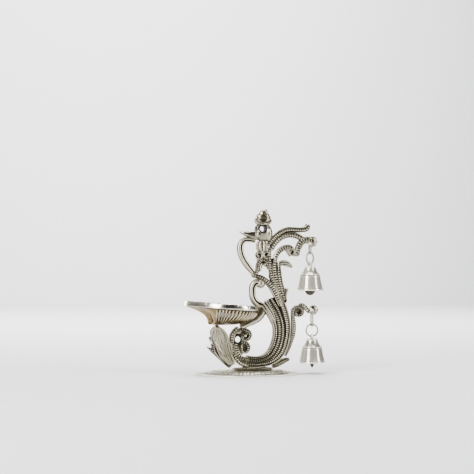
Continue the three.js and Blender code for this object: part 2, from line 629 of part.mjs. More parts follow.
// Oval link in the YZ plane: the middle of its top wire is the origin.
function link(height) {
  const straight = Math.max(height - 2 * LINK_HALF_WIDTH, 0);
  const bend = (height - straight) / 2;
  const half = (up) =>
    Array.from({ length: LINK_POINTS }, (_, i) => {
      const turn = (Math.PI * (i + 0.5)) / LINK_POINTS;
      const y = LINK_HALF_WIDTH * Math.sign(Math.cos(turn)) * Math.abs(Math.cos(turn)) ** LINK_SQUARENESS;
      const rise = bend * Math.sin(turn) ** LINK_SQUARENESS;
      return new THREE.Vector3(0, up * y, up > 0 ? rise - bend : -rise - bend - straight);
    });
  return wire([...half(1), ...half(-1)], new THREE.Vector3(1, 0, 0), WIRE_RADIUS);
}

// Points of an upright circle that faces the front
function circle(radius, z, count) {
  return Array.from({ length: count }, (_, i) => {
    const turn = (2 * Math.PI * i) / count;
    return new THREE.Vector3(radius * Math.cos(turn), 0, z + radius * Math.sin(turn));
  });
}

// Round ring in the XZ plane: the middle of its top wire is the origin.
function ring() {
  return wire(circle(RING_RADIUS, -RING_RADIUS, RING_POINTS), new THREE.Vector3(0, 1, 0), WIRE_RADIUS);
}

const CROWN_INSIDE = -NECK_DROP - BELL_CROWN;
const STAPLE_BEND = CROWN_INSIDE - STAPLE_LEG - STAPLE_HALF_WIDTH;

// Bell: the ring's wire passes through its lug at the origin, along X.
function bell() {
  const neck = -NECK_DROP;
  const shoulder = neck - BELL_SHOULDER_DROP;
  const rim = neck - BELL_HEIGHT;
  const inner = (radius) => radius - BELL_WALL;
  const waist = THREE.MathUtils.lerp(BELL_SHOULDER_RADIUS, BELL_RIM_RADIUS, 0.42);
  const middle = THREE.MathUtils.lerp(shoulder, rim, 0.55);
  const profile = [
    [0, neck + 0.3],
    [BELL_NECK_RADIUS - 0.5, neck],
    [BELL_NECK_RADIUS, neck - 0.6],
    [BELL_NECK_RADIUS + 0.9, neck - BELL_SHOULDER_DROP * 0.4],
    [BELL_SHOULDER_RADIUS - 1.6, neck - BELL_SHOULDER_DROP * 0.78],
    [BELL_SHOULDER_RADIUS, shoulder],
    [waist, middle],
    [BELL_RIM_RADIUS - 0.6, rim + BELL_RIM_BAND + 0.3],
    [BELL_RIM_RADIUS, rim + BELL_RIM_BAND],
    [BELL_RIM_RADIUS, rim],
    [inner(BELL_RIM_RADIUS), rim],
    [inner(waist), middle],
    [inner(BELL_SHOULDER_RADIUS) - 0.6, shoulder - 1],
    [inner(BELL_NECK_RADIUS), CROWN_INSIDE],
    [0, CROWN_INSIDE],
  ];
  const shell = solidOf(revolved(profile, BELL_SIDES));
  const lug = new THREE.CylinderGeometry(LUG_RADIUS, LUG_RADIUS, LUG_THICKNESS, 16).rotateZ(Math.PI / 2);
  const hole = new THREE.CylinderGeometry(LUG_HOLE_RADIUS, LUG_HOLE_RADIUS, 3 * LUG_THICKNESS, 12).rotateZ(Math.PI / 2);
  return shell.add(solidOf(lug.translate(0, 0, -LUG_DROP))).subtract(solidOf(hole.translate(0, 0, -LUG_DROP)));
}

// Staple under the crown: its bend runs along Y through the clapper's eye.
function staple() {
  const points = [new THREE.Vector3(0, STAPLE_HALF_WIDTH, CROWN_INSIDE - SEAM_GAP)];
  for (let i = 0; i <= 6; i++) {
    const turn = (Math.PI * i) / 6;
    const y = STAPLE_HALF_WIDTH * Math.cos(turn);
    points.push(new THREE.Vector3(0, y, STAPLE_BEND + STAPLE_HALF_WIDTH - STAPLE_HALF_WIDTH * Math.sin(turn)));
  }
  points.push(new THREE.Vector3(0, -STAPLE_HALF_WIDTH, CROWN_INSIDE - SEAM_GAP));
  return wire(points, new THREE.Vector3(1, 0, 0), STAPLE_WIRE, false);
}

// Clapper: an eye round the staple's bend, a stem and a flat drop.
function clapper() {
  const eyeRadius = STAPLE_HALF_WIDTH;
  const eyeMiddle = STAPLE_BEND + 2 * STAPLE_WIRE + RUNNING_GAP - eyeRadius;
  const low = -NECK_DROP - BELL_HEIGHT - CLAPPER_SHOWS;
  const stemTop = eyeMiddle - eyeRadius;
  const dropMiddle = low + CLAPPER_RADIUS;
  const stem = revolved(
    [[0, dropMiddle], [CLAPPER_STEM_RADIUS * 1.6, dropMiddle], [CLAPPER_STEM_RADIUS, stemTop], [0, stemTop]],
    8,
  );
  const drop = lump({ x: 0, z: dropMiddle, rx: CLAPPER_RADIUS, rz: CLAPPER_RADIUS }, CLAPPER_THICKNESS);
  const eye = wire(circle(eyeRadius, eyeMiddle, EYE_POINTS), new THREE.Vector3(0, 1, 0), STAPLE_WIRE);
  return union([eye, solidOf(stem), drop]);
}

// Assembly

function meshOf(name, solid, material) {
  const { vertProperties, triVerts } = solid.getMesh();
  const geometry = new THREE.BufferGeometry()
    .setAttribute("position", new THREE.BufferAttribute(vertProperties, 3))
    .setIndex(new THREE.BufferAttribute(triVerts, 1));
  geometry.computeVertexNormals();
  const mesh = new THREE.Mesh(geometry, material);
  mesh.name = name;
  return mesh;
}

function frame() {
  const group = new THREE.Group();
  group.position.z = FOOT_HEIGHT;
  const g = SEAM_GAP;
  const bowlCut = bowlClearance();
  const tailCut = tailSweep(g);
  const neckCut = neckStrands(g);
  const panelCut = neckPanel(g);
  const castings = {
    tail_sweep: tailSweep(),
    front_scroll: seated(frontScroll(), tailCut),
    neck_strands: seated(neckStrands(), tailCut),
    neck_panel: seated(neckPanel(), neckCut),
    upper_bracket: seated(upperBracket(), neckCut, panelCut),
    peacock_head: seated(peacockHead(), panelCut, upperBracket(g), neckCut),
    head_crest: seated(crest(), peacockHead(g)),
    beak_loop: seated(beakLoop(), peacockHead(g), panelCut, neckCut),
    throat_curl: seated(throatCurl(), neckCut, panelCut, tailCut, bowlCut, beakLoop(g)),
    bowl_arm: seated(bowlArm(), throatCurl(g), tailCut, frontScroll(g), bowlCut),
    leaf_cup: seated(leafCup(), frontScroll(g), tailCut, bowlCut),
    rear_leaf: seated(rearLeaf(), tailCut),
    lower_bracket: seated(lowerBracket(), tailCut, rearLeaf(g)),
  };
  Object.entries(castings).forEach(([name, solid]) => group.add(meshOf(name, solid, OLD_SILVER)));
  group.add(meshOf("diya_bowl", bowl(), BRIGHT_SILVER));
  return group;
}

// One hanging chain: link, ring, bell, staple and clapper, below an eyelet of the frame.
function bellChain(prefix, eyelet, linkHeight, ringTurn, clapperTurn) {
  const chain = new THREE.Group();
  const linkTop = -EYELET_RADIUS + RUNNING_GAP + WIRE_RADIUS;
  chain.position.set(eyelet.x, 0, FOOT_HEIGHT + eyelet.z + linkTop);
  chain.add(meshOf(prefix + "_link", link(linkHeight), BRIGHT_SILVER));
  const hung = new THREE.Group();
  hung.position.z = -linkHeight + 2 * WIRE_RADIUS + RUNNING_GAP;
  hung.rotation.z = radians(ringTurn);
  hung.add(meshOf(prefix + "_ring", ring(), BRIGHT_SILVER));
  const swung = new THREE.Group();
  swung.position.z = -2 * RING_RADIUS;
  swung.add(meshOf(prefix + "_bell", bell(), BRIGHT_SILVER));
  const struck = new THREE.Group();
  struck.rotation.z = radians(clapperTurn - ringTurn);
  struck.add(meshOf(prefix + "_staple", staple(), STEEL));
  struck.add(meshOf(prefix + "_clapper", clapper(), BRIGHT_SILVER));
  swung.add(struck);
  hung.add(swung);
  chain.add(hung);
  return chain;
}

const lampStand = new THREE.Group();
lampStand.add(meshOf("foot_plate", footPlate(), OLD_SILVER));
SCREW_PLACES.forEach((x, i) => lampStand.add(meshOf("foot_screw_" + (i + 1), footScrew(x), STEEL)));
lampStand.add(frame());
lampStand.add(bellChain("upper", UPPER_EYELET, UPPER_LINK_HEIGHT, UPPER_RING_TURN, 0));
lampStand.add(bellChain("lower", LOWER_EYELET, LOWER_LINK_HEIGHT, 0, 90));

export default lampStand;
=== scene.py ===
"""Peacock oil lamp stand: detailed castings, bowl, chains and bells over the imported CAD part."""

import json
import math

import bmesh
import bpy
import numpy as np
from bpy.props import FloatProperty, FloatVectorProperty, IntProperty, PointerProperty
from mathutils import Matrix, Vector
from mathutils.geometry import interpolate_bezier


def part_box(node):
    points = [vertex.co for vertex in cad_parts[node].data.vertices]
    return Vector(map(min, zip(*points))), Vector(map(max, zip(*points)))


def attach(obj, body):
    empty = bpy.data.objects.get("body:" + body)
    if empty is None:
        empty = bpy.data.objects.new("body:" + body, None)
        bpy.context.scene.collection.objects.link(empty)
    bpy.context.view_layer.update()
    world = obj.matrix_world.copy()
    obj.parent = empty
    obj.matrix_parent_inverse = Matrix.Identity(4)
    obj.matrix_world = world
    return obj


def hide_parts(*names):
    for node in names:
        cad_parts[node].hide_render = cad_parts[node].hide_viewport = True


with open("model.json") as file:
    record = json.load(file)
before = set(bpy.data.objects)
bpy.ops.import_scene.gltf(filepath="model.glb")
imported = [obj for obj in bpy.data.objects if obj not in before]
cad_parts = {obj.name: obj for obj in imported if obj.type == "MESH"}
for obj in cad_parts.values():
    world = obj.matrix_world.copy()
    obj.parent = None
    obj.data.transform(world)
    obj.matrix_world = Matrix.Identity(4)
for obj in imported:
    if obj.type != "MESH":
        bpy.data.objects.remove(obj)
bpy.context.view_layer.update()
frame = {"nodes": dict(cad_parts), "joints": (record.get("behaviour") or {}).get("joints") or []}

bl_info = {
    "name": "Peacock lamp stand",
    "version": (1, 0, 0),
    "blender": (4, 5, 0),
    "location": "3D View > Sidebar > Lamp stand",
    "description": "Models the castings, bowl, chains and bells of a peacock oil lamp stand",
    "category": "Object",
}

MM = 0.001
JOINT_PLACES = {joint["name"]: Vector(joint["pos_m"]) for joint in frame["joints"]}


def box_size(node):
    low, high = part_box(node)
    return high - low


FOOT_BOX = box_size("foot_plate")

# Routes of the strands, in the plane of the frame. Each point is (x, height above the foot, width) in mm.
TAIL_INNER = [
    (16.3, 67, 3.5), (22, 58, 4.6), (26.3, 49, 5), (28.1, 39, 5), (26.9, 29.5, 4.8), (23.4, 21, 4.4),
    (18.3, 15.4, 3.8), (12, 12.9, 3.4), (5, 12.6, 3.4), (-1.7, 13.7, 3.6),
]
TAIL_SECOND = [
    (19.7, 70, 3.4), (26, 59.5, 4), (30.5, 50, 4.2), (32.2, 39.5, 4.2), (31, 29, 4), (27.3, 19.5, 3.8),
    (21.4, 12.9, 3.6), (14, 9.9, 3.4), (5.5, 9.4, 3.4), (-2.2, 10.6, 3.6),
]
TAIL_THIRD = [
    (23.5, 71.5, 3.4), (29, 63, 3.6), (33.7, 52, 3.8), (35.8, 40.5, 3.8), (34.6, 28.5, 3.8), (30.6, 18, 3.6),
    (24, 10.8, 3.2), (16, 7.9, 3), (6.5, 7.2, 3), (-2.4, 8.4, 3),
]
TAIL_OUTER = [
    (30.6, 75, 6.2), (35.8, 63.6, 7), (39.2, 52.7, 6.9), (40.7, 41.7, 6.4), (39.5, 30.8, 6.2), (36.7, 20.8, 6.2),
    (31.5, 13, 5.8), (24.6, 8.2, 5.2), (16, 5.8, 5), (7, 5.1, 5), (-2.6, 5.6, 5),
]
TAIL_WEB = [
    (22, 71, 13), (28, 59, 15), (32.5, 50, 16), (34.3, 40, 16), (33, 29, 15.5), (29.5, 19.5, 14), (22.5, 12, 11.5),
    (14, 8.6, 9.6), (5.5, 8, 9.4), (-4, 9, 9),
]
TAIL_BARBS = [
    [(13.4, 65, 1.6), (18.2, 58.4, 2), (22.6, 51.6, 1.8), (25, 45.5, 1.2)],
    [(15.2, 67.4, 1.6), (19.8, 60.6, 2), (24, 53.6, 1.8), (26.6, 47, 1.2)],
    [(17.4, 69.4, 1.6), (22, 62.6, 2), (26, 55.4, 1.8), (28.4, 48.4, 1.2)],
]
SOLE = [(-15, 1.4, 2.6), (-8, 1.6, 3), (5, 1.8, 3.6), (18, 1.6, 3), (25, 1.4, 2.6)]
REAR_LEAF = [(25, 3, 3.2), (31, 6.2, 5.2), (37.8, 9.6, 5.2), (41.4, 10.6, 3.6), (43.2, 10.8, 1.2)]
BEADED_BAND = [
    (1, 4.6, 4.6), (-4, 6, 5), (-9.4, 9.4, 5.2), (-13.6, 15.6, 5), (-16, 23, 5), (-16.4, 31, 5), (-14.4, 37.4, 5.2),
    (-9, 42.4, 5.6),
]
INNER_BAND = [(1, 10.6, 4.4), (-4, 11.6, 4.8), (-8.8, 15, 5.2), (-11.4, 20.4, 5.2), (-11.8, 27, 4.2)]
FRONT_HOOK = [(-7, 28.6, 4), (-4, 28, 4.4), (-0.4, 26, 4.2), (0.8, 22.4, 3.8), (-0.8, 18.8, 3), (-4, 17.4, 2.2)]
FRONT_WEB = [(0, 8, 8), (-6, 10, 9), (-11.6, 16, 9), (-14, 23, 7), (-14.8, 29, 2.4)]
BOWL_ARM = [(-7.4, 43.6, 7), (2, 48.2, 7.4), (9.2, 52.6, 9), (13, 58.4, 10), (13.8, 64, 8.8)]
ARM_EDGE = [(-3, 44.4, 3), (5.6, 47.4, 3.8), (12, 51.4, 4.6), (16, 57, 4.6), (17, 62, 3.8)]
THROAT_CURL = [
    (13.8, 86.5, 7.6), (9, 87.6, 7), (5.4, 84, 6.8), (4.8, 78, 6.4), (5.6, 71.6, 6.4), (9.6, 66.6, 6.6),
    (15.4, 64.6, 5.6),
]
NECK_ROPE = [(6.5, 94.6, 4), (14.5, 92, 5), (22.2, 85.6, 6), (27.2, 78.6, 6.6), (31, 71, 6.6), (34, 64, 6)]
NECK_FRONT = [(22.4, 123, 2.8), (22.6, 108, 3.4), (23.6, 97, 4), (26.2, 88, 4.4), (29.6, 79, 4.4), (33, 70, 4)]
NECK_MIDDLE = [(28.2, 112, 3.8), (27.2, 104.6, 5), (27.6, 96, 5.2), (29.8, 87, 5.4), (32.8, 76, 5.4), (35.4, 67, 5)]
NECK_BACK = [(31.4, 107, 3.2), (32, 98, 4.8), (33.4, 88.6, 4.8), (35.8, 79, 4.6), (37.8, 70, 4)]
NECK_WEB = [(25.6, 112, 3), (26.8, 106, 8), (27.6, 97, 12), (29.6, 87, 12), (33, 76, 12), (36, 66, 10)]
NECK_LEAF = [(31, 103, 4), (33.5, 106.6, 5.6), (38.7, 106.8, 6), (43, 104.9, 4.6), (45.6, 102.2, 1)]
NECK_BUD_STEM = [(38.6, 71, 2.4), (38.8, 75, 2.6), (39.2, 79, 3)]
COLLAR = [(14.8, 118.6, 11), (14.6, 124, 10.4), (14.4, 129, 10.8)]
PANEL_ARCH = [
    (7.4, 96.2, 4), (9.9, 99.6, 4.4), (10.6, 105, 4.6), (13.4, 109.8, 4.6), (17, 110, 4.4), (20.2, 106, 3.8),
    (21.2, 100.6, 2.6),
]
PANEL_INNER_ARCH = [(12.6, 98.4, 2), (13.4, 102.6, 2.8), (15, 105.6, 3), (17.4, 105.6, 2.6), (18.6, 103, 1.6)]
BEAK_LOOP = [
    (8, 128.8, 4.2), (2, 130.2, 4.8), (-4, 129.6, 5.4), (-7.2, 124.6, 6.2), (-7, 118, 6.4), (-4, 110, 6.4),
    (1.4, 102.2, 5.8), (6, 96.6, 4),
]
EYE = (14.7, 141.2)
BEAK = [(11, 134.8, 11), (5.4, 135, 8.8), (0, 135.9, 5.8), (-5, 137.3, 3.4), (-9.4, 140.2, 1.2)]
CREST_BAND = [(7.4, 149.8, 1.8), (10.8, 146.6, 2.2), (16, 145.8, 2.2), (21.4, 146.6, 2.2), (24.6, 149.8, 1.8)]
CREST_STRAND = [
    (20.6, 124.6, 4), (26.6, 131.6, 5.2), (33.4, 137.6, 5.6), (40.8, 140.7, 5.4), (48, 140.7, 5.2), (56, 140.7, 5.2),
    (61.2, 142, 4.8), (63.4, 146.2, 1.6),
]
MIDDLE_STRAND = [
    (23.4, 120, 4.6), (29, 128.4, 5.6), (36.4, 133.8, 5.8), (44.5, 135.6, 6), (51.4, 134, 5.8), (56.4, 131.4, 5),
]
LOWER_STRAND = [(27.6, 108.4, 4), (30.2, 116.4, 5.2), (36, 121.6, 5.6), (42, 122.9, 5.4), (46.6, 121, 4.8)]
BOSS_STRAND = [
    (46.4, 115, 4), (50.2, 117.6, 5.6), (52.4, 123.4, 6.6), (56.4, 128.8, 7), (62, 130.2, 6.8), (66, 129, 6),
]
UPPER_EYELET, LOWER_EYELET = (64.2, 126), (66, 59)
BRACKET_STEM = [
    (38.2, 14, 2.6), (41.8, 22.4, 4.2), (44.4, 30, 4.8), (46.4, 36, 4.8), (46.9, 46, 4.8), (46.2, 54, 4.2),
    (46.6, 60, 4),
]
BRACKET_ARM = [(52.4, 65.4, 2.6), (57, 64.4, 4), (60.8, 60.6, 4.6), (64, 57.4, 5)]
LEAF_MIDRIB = [
    (-31.4, 42.8, 5), (-30.6, 38.4, 13), (-29, 33, 17.6), (-27.4, 28, 17), (-25.6, 22.6, 18.6), (-22.6, 15.8, 14.6),
    (-19.4, 10, 9.6), (-16, 5, 5),
]
LEAF_LOBE = [(-41, 24, 1.2), (-35.6, 20.8, 4.6), (-27.6, 14.2, 6), (-20, 6.6, 5), (-17.4, 3.4, 3.4)]
LEAF_RIGHT = [
    (-29.6, 43.4, 2), (-24.6, 39.4, 2.6), (-21.4, 33.6, 2.8), (-19.8, 27, 2.8), (-18, 20, 2.8), (-15.6, 12.6, 2.4),
    (-13.6, 6, 2),
]
LEAF_TIP = [(-22, 12.6, 1.6), (-28.4, 20.6, 3.4), (-33, 27, 4), (-36.8, 31.4, 3.4), (-38.8, 34, 1)]
LEAF_LEFT = [
    (-33, 43.4, 2), (-36.2, 39.4, 2.6), (-36, 35, 2.6), (-34, 29, 2.4), (-31.4, 22.6, 2.2), (-27.6, 14, 2),
    (-19.6, 6, 1.6),
]


# Hand tools


def only(piece):
    """Selects this one object and nothing else."""
    bpy.ops.object.select_all(action="DESELECT")
    bpy.context.view_layer.objects.active = piece
    piece.select_set(True)


def named(name):
    """Names what an operator has just added."""
    piece = bpy.context.active_object
    piece.name = piece.data.name = name
    return piece


def edit(piece, selected="DESELECT"):
    """Opens a mesh with nothing selected, or with all of it."""
    only(piece)
    bpy.ops.object.mode_set(mode="EDIT")
    bpy.ops.mesh.select_mode(type="VERT")
    bpy.ops.mesh.select_all(action=selected)


def done():
    bpy.ops.object.mode_set(mode="OBJECT")


def settle(piece):
    """Puts the piece's turn, size and place into its mesh."""
    only(piece)
    bpy.ops.object.transform_apply(location=True, rotation=True, scale=True)


def points_of(piece):
    points = np.empty(len(piece.data.vertices) * 3, np.float32)
    piece.data.vertices.foreach_get("co", points)
    return points.reshape(-1, 3).astype(float)


def place_points(piece, points):
    piece.data.vertices.foreach_set("co", points.astype(np.float32).ravel())
    piece.data.update()


def new_piece(name, mesh):
    """Puts a copy of a mesh into the scene."""
    piece = bpy.data.objects.new(name, mesh.copy())
    bpy.context.scene.collection.objects.link(piece)
    return piece


def placed(piece, at=(0, 0, 0), turn=(0, 0, 0), size=(1, 1, 1)):
    """Sizes, turns and moves a piece, by shares, degrees and mm, and keeps that in its mesh."""
    piece.scale = size
    piece.rotation_euler = [math.radians(angle) for angle in turn]
    piece.location = [place * MM for place in at]
    settle(piece)
    return piece


def pick(piece, kind, test):
    """Selects those edges or faces of an open mesh that pass the test."""
    mesh = bmesh.from_edit_mesh(piece.data)
    for part in getattr(mesh, kind):
        part.select = test(part)
    bmesh.update_edit_mesh(piece.data)


def pull_edges(x, y, z):
    """Draws the selected edges out into new faces."""
    bpy.ops.mesh.extrude_edges_move(TRANSFORM_OT_translate={"value": (x, y, z)})


def hoop(name, sides, tilt=0):
    """Open circle of radius 1, whose edge is then drawn out into a wall."""
    bpy.ops.mesh.primitive_circle_add(vertices=sides, radius=1, fill_type="NOTHING")
    return placed(named(name), turn=(0, tilt, 0))


def drum(name, x, y, radius, depth, sides):
    """Closed cylinder along Z, with its middle at x and y in mm."""
    bpy.ops.mesh.primitive_cylinder_add(vertices=sides, radius=radius * MM, depth=depth * MM)
    return placed(named(name), (x, y, 0))


def apply_modifiers(piece):
    only(piece)
    for modifier in list(piece.modifiers):
        bpy.ops.object.modifier_apply(modifier=modifier.name)


def cut_out(piece, drill):
    """Takes the drill's shape out of a piece."""
    cut = piece.modifiers.new("Hole", "BOOLEAN")
    cut.operation, cut.object, cut.solver = "DIFFERENCE", drill, "EXACT"
    apply_modifiers(piece)
    bpy.data.objects.remove(drill)
    return piece


def close_ends(piece, merge=0.02 * MM):
    """Merges doubles, closes open ends and turns every face outwards."""
    edit(piece, "SELECT")
    bpy.ops.mesh.remove_doubles(threshold=merge)
    bpy.ops.mesh.fill_holes(sides=0)
    bpy.ops.mesh.select_all(action="SELECT")
    bpy.ops.mesh.normals_make_consistent(inside=False)
    done()


def joined(name, pieces):
    """Joins the castings of one piece into a single mesh."""
    bpy.ops.object.select_all(action="DESELECT")
    for piece in pieces:
        piece.select_set(True)
    bpy.context.view_layer.objects.active = pieces[0]
    bpy.ops.object.join()
    return named(name)


def stand_up(piece, height):
    """Turns a piece drawn flat in X and Y upright, so that it faces the front."""
    return placed(piece, (0, 0, height / MM), (90, 0, 0))


def smooth_faces(piece, angle):
    only(piece)
    bpy.ops.object.shade_smooth_by_angle(angle=math.radians(angle))


# Sections of a strand. Each point is (across, height), or (across, height at a rib's crest, height in the valley).
# A section that is the same on both sides of its middle is given as far as its middle.

RIBBED = [
    (1, 0.3), (0.9, 0.54), (0.83, 0.92), (0.7, 0.98), (0.6, 0.72, 0.66), (0.5, 0.86, 0.62), (0.3, 1, 0.66),
    (0, 1.04, 0.68),
]
BANDED = [
    (1, 0.3), (0.91, 0.6), (0.8, 1.04), (0.5, 1.06), (0.36, 0.86), (0.28, 0.68, 0.64), (0.18, 0.9, 0.66),
    (-0.1, 1, 0.7), (-0.5, 0.92, 0.66), (-0.7, 0.64, 0.62), (-0.78, 0.86), (-0.88, 0.62), (-1, 0.3),
]
BEADED = [
    (1, 0.4), (0.95, 0.72), (0.84, 0.82), (0.7, 0.78), (0.6, 0.62), (0.48, 0.84, 0.6), (0.28, 1, 0.6), (0, 1.06, 0.6),
]
SMOOTH = [(1, 0.3), (0.94, 0.62), (0.78, 0.84), (0.5, 0.97), (0.2, 1), (0, 1)]
GROOVED = [(1, 0.35), (0.94, 0.72), (0.8, 0.92), (0.62, 0.96), (0.46, 0.84), (0.36, 0.7), (0.24, 0.84), (0, 0.92)]
RAILED = [
    (1, 0.35), (0.95, 0.74), (0.82, 0.96), (0.62, 1.02), (0.48, 0.9), (0.36, 0.7), (0.2, 0.68), (0.04, 0.88),
    (-0.2, 1), (-0.5, 0.98), (-0.78, 0.84), (-0.94, 0.62), (-1, 0.3),
]
FLUTED = [
    (1, 0.4), (0.96, 0.7), (0.86, 0.82), (0.72, 0.8), (0.62, 0.6), (0.5, 0.84), (0.36, 0.94), (0.22, 0.86),
    (0.12, 0.66), (0, 0.9),
]
CHANNEL_FRONT = [
    (1, 0.8), (0.96, 1), (0.86, 0.9), (0.78, 0.42), (0.66, 0.3), (0.58, -0.02), (0.46, -0.1), (0.38, -0.4),
    (0.24, -0.4), (0.16, -0.62), (0, -0.5),
]
CHANNEL_BACK = [(1, 0.5), (0.92, -0.1), (0.76, -0.56), (0.5, -0.86), (0, -1)]
WIRE_SIDES = 14
ROUND = [(math.cos(math.tau * k / WIRE_SIDES), math.sin(math.tau * k / WIRE_SIDES)) for k in range(WIRE_SIDES)]

# Rows along one rib or bead. Each is (share of its length, share of the way from the valley up to the crest).
RIB_ROWS = [(0, 0), (0.14, 0.12), (0.34, 0.95), (0.72, 0.95), (0.9, 0.12)]
BEAD_ROWS = [(0, 0), (0.1, 0.4), (0.25, 0.75), (0.45, 0.98), (0.6, 0.96), (0.78, 0.7), (0.92, 0.36)]
PLAIN_ROWS = [(0, 0), (0.5, 0)]


def mirrored(half):
    """Section from one edge to the other, of which half is given as far as the middle."""
    return half + [(-across, *heights) for across, *heights in half[-2::-1]]


def both_faces(front):
    """Closed section that is the same on its front and its back."""
    return front + [(across, *(-height for height in heights)) for across, *heights in front[::-1]]


# Each kind of strand has its section, its rows and its pitch, in mm.
KINDS = {
    "ribbed": (both_faces(mirrored(RIBBED)), RIB_ROWS, 1.55),
    "banded": (both_faces(BANDED), RIB_ROWS, 1.35),
    "beaded": (both_faces(mirrored(BEADED)), BEAD_ROWS, 2.5),
    "smooth": (both_faces(mirrored(SMOOTH)), PLAIN_ROWS, 1.2),
    "grooved": (both_faces(mirrored(GROOVED)), PLAIN_ROWS, 1.2),
    "railed": (both_faces(RAILED), PLAIN_ROWS, 1.2),
    "fluted": (both_faces(mirrored(FLUTED)), PLAIN_ROWS, 1.2),
    "channel": (mirrored(CHANNEL_FRONT) + mirrored(CHANNEL_BACK)[::-1], PLAIN_ROWS, 1.2),
    "wire": (ROUND, PLAIN_ROWS, 0.8),
}
patterns = {}


def pattern(kind):
    """One rib, bead or plain length of a strand, 1 long and 2 wide, modelled once for each kind."""
    if kind in patterns:
        return patterns[kind]
    section, rows, _ = KINDS[kind]
    count = len(section)
    piece = hoop("pattern_" + kind, count, 90)
    stations = [share for share, _ in rows] + [1]
    edit(piece, "SELECT")
    for low, high in zip(stations, stations[1:]):
        pull_edges(high - low, 0, 0)
    done()
    points = points_of(piece)
    start = np.argmin(np.abs(points[:, 0]))
    first = math.atan2(points[start, 2], points[start, 1])
    lifts = [lift for _, lift in rows] + [rows[0][1]]
    for point in points:
        turn = math.atan2(point[2], point[1]) - first
        at = section[round(turn * count / math.tau) % count]
        across, crest, valley = (*at, at[1])[:3]
        lift = lifts[int(np.argmin([abs(point[0] - share) for share in stations]))]
        point[1:] = across, valley + (crest - valley) * lift
    place_points(piece, points)
    patterns[kind] = piece.data
    bpy.data.objects.remove(piece)
    return patterns[kind]


LINE_STEPS = 16  # from one point of a route to the next


def drawn_line(route, closed=False):
    """Flat curve through the route's points, and how far along it each point lies."""
    bpy.ops.curve.primitive_bezier_curve_add()
    line = named("drawn_line")
    line.data.dimensions = "2D"
    line.data.use_radius = False
    spline = line.data.splines[0]
    spline.bezier_points.add(len(route) - 2)
    for point, (x, y, _) in zip(spline.bezier_points, route):
        point.co = (x * MM, y * MM, 0)
        point.handle_left_type = point.handle_right_type = "AUTO"
    spline.use_cyclic_u = closed
    spline.resolution_u = LINE_STEPS
    bpy.context.view_layer.update()
    knots = list(spline.bezier_points) + ([spline.bezier_points[0]] if closed else [])
    stations = [0.0]
    for a, b in zip(knots, knots[1:]):
        run = interpolate_bezier(a.co, a.handle_right, b.handle_left, b.co, LINE_STEPS + 1)
        stations.append(stations[-1] + sum((q - p).length for p, q in zip(run, run[1:])))
    return line, stations


def eased(at, stations, values):
    """Values between stations, on a smooth line through them (cubic Hermite)."""
    slopes = np.gradient(values, stations)
    i = np.clip(np.searchsorted(stations, at, side="right") - 1, 0, len(stations) - 2)
    low, high = np.take(stations, i), np.take(stations, i + 1)
    t = (at - low) / (high - low)
    a, b = np.take(values, i), np.take(values, i + 1)
    m, n = np.take(slopes, i) * (high - low), np.take(slopes, i + 1) * (high - low)
    return a + t * m + t * t * (3 * (b - a) - 2 * m - n) + t**3 * (2 * (a - b) + m + n)


def strand(route, depth, kind="ribbed", closed=False, pitch=None, deepest=2.2):
    """A casting that follows a route: its pattern repeated, given its widths, and bent along the line.

    It is depth mm deep, or deepest times its width where that is less. Its open ends are rounded.
    """
    thinnest, end_run, end_width = 0.4 * MM, 0.32, 0.35
    line, stations = drawn_line(route, closed)
    length = stations[-1]
    count = max(2, round(length / ((pitch or KINDS[kind][2]) * MM)))
    piece = placed(new_piece("strand", pattern(kind)), size=(length / count, 1, 1))
    rows = piece.modifiers.new("Repeat", "ARRAY")
    rows.count = count
    rows.use_relative_offset = False
    rows.use_constant_offset = True
    rows.constant_offset_displace = (length / count, 0, 0)
    rows.use_merge_vertices = True
    rows.merge_threshold = length / count * 0.02
    apply_modifiers(piece)
    points = points_of(piece)
    along = np.clip(points[:, 0], 0, length)
    if closed:
        widths = np.full(len(along), route[0][2] * MM)
    else:
        widths = np.maximum(eased(along, stations, [w * MM for _, _, w in route]), thinnest)
        for end, width in ((along, route[0][2] * MM), (length - along, route[-1][2] * MM)):
            share = np.clip(end / (end_run * width), 0, 1)
            widths = widths * (end_width + (1 - end_width) * np.sqrt(1 - (1 - share) ** 2))
    mark_low(piece, np.abs(points[:, 2]) if kind != "channel" else 1)
    points[:, 1] *= widths / 2
    points[:, 2] *= np.minimum(depth * MM, widths * deepest) / 2
    place_points(piece, points)
    bend = piece.modifiers.new("Bend", "CURVE")
    bend.object = line
    apply_modifiers(piece)
    bpy.data.objects.remove(line)
    close_ends(piece)
    return piece


def mark_low(piece, height, low=0.6, high=0.98):
    """Stores where a casting lies low, out of reach of the polishing; round the eye and round the front scroll's hole
    it stores painted shade.

    Height is one number or one for each point, 1 at the casting's face. Its sides, under half of that, get less.
    """
    on_side = 0.45
    layer = piece.data.attributes.get("low") or piece.data.attributes.new("low", "FLOAT", "POINT")
    height = np.broadcast_to(height, len(piece.data.vertices))
    value = np.clip((high - height) / (high - low), 0, 1) * np.where(height < 0.5, on_side, 1)
    layer.data.foreach_set("value", value.astype(np.float32))


def web(route, depth):
    """Sunk metal between strands, which keeps its oxide."""
    piece = strand(route, depth, "smooth", deepest=1)
    mark_low(piece, 0.55)
    return piece


def spiral(x, y, reach, eye, start, turns, width):
    """Route of a volute that winds in from its reach to its eye."""
    taper, steps = 0.4, round(abs(turns) * 12)
    route = []
    for i in range(steps + 1):
        share = i / steps
        turn = math.radians(start) + math.tau * turns * share
        radius = reach + (eye - reach) * share
        route.append((x + radius * math.cos(turn), y + radius * math.sin(turn), width * (1 - taper * share)))
    return route


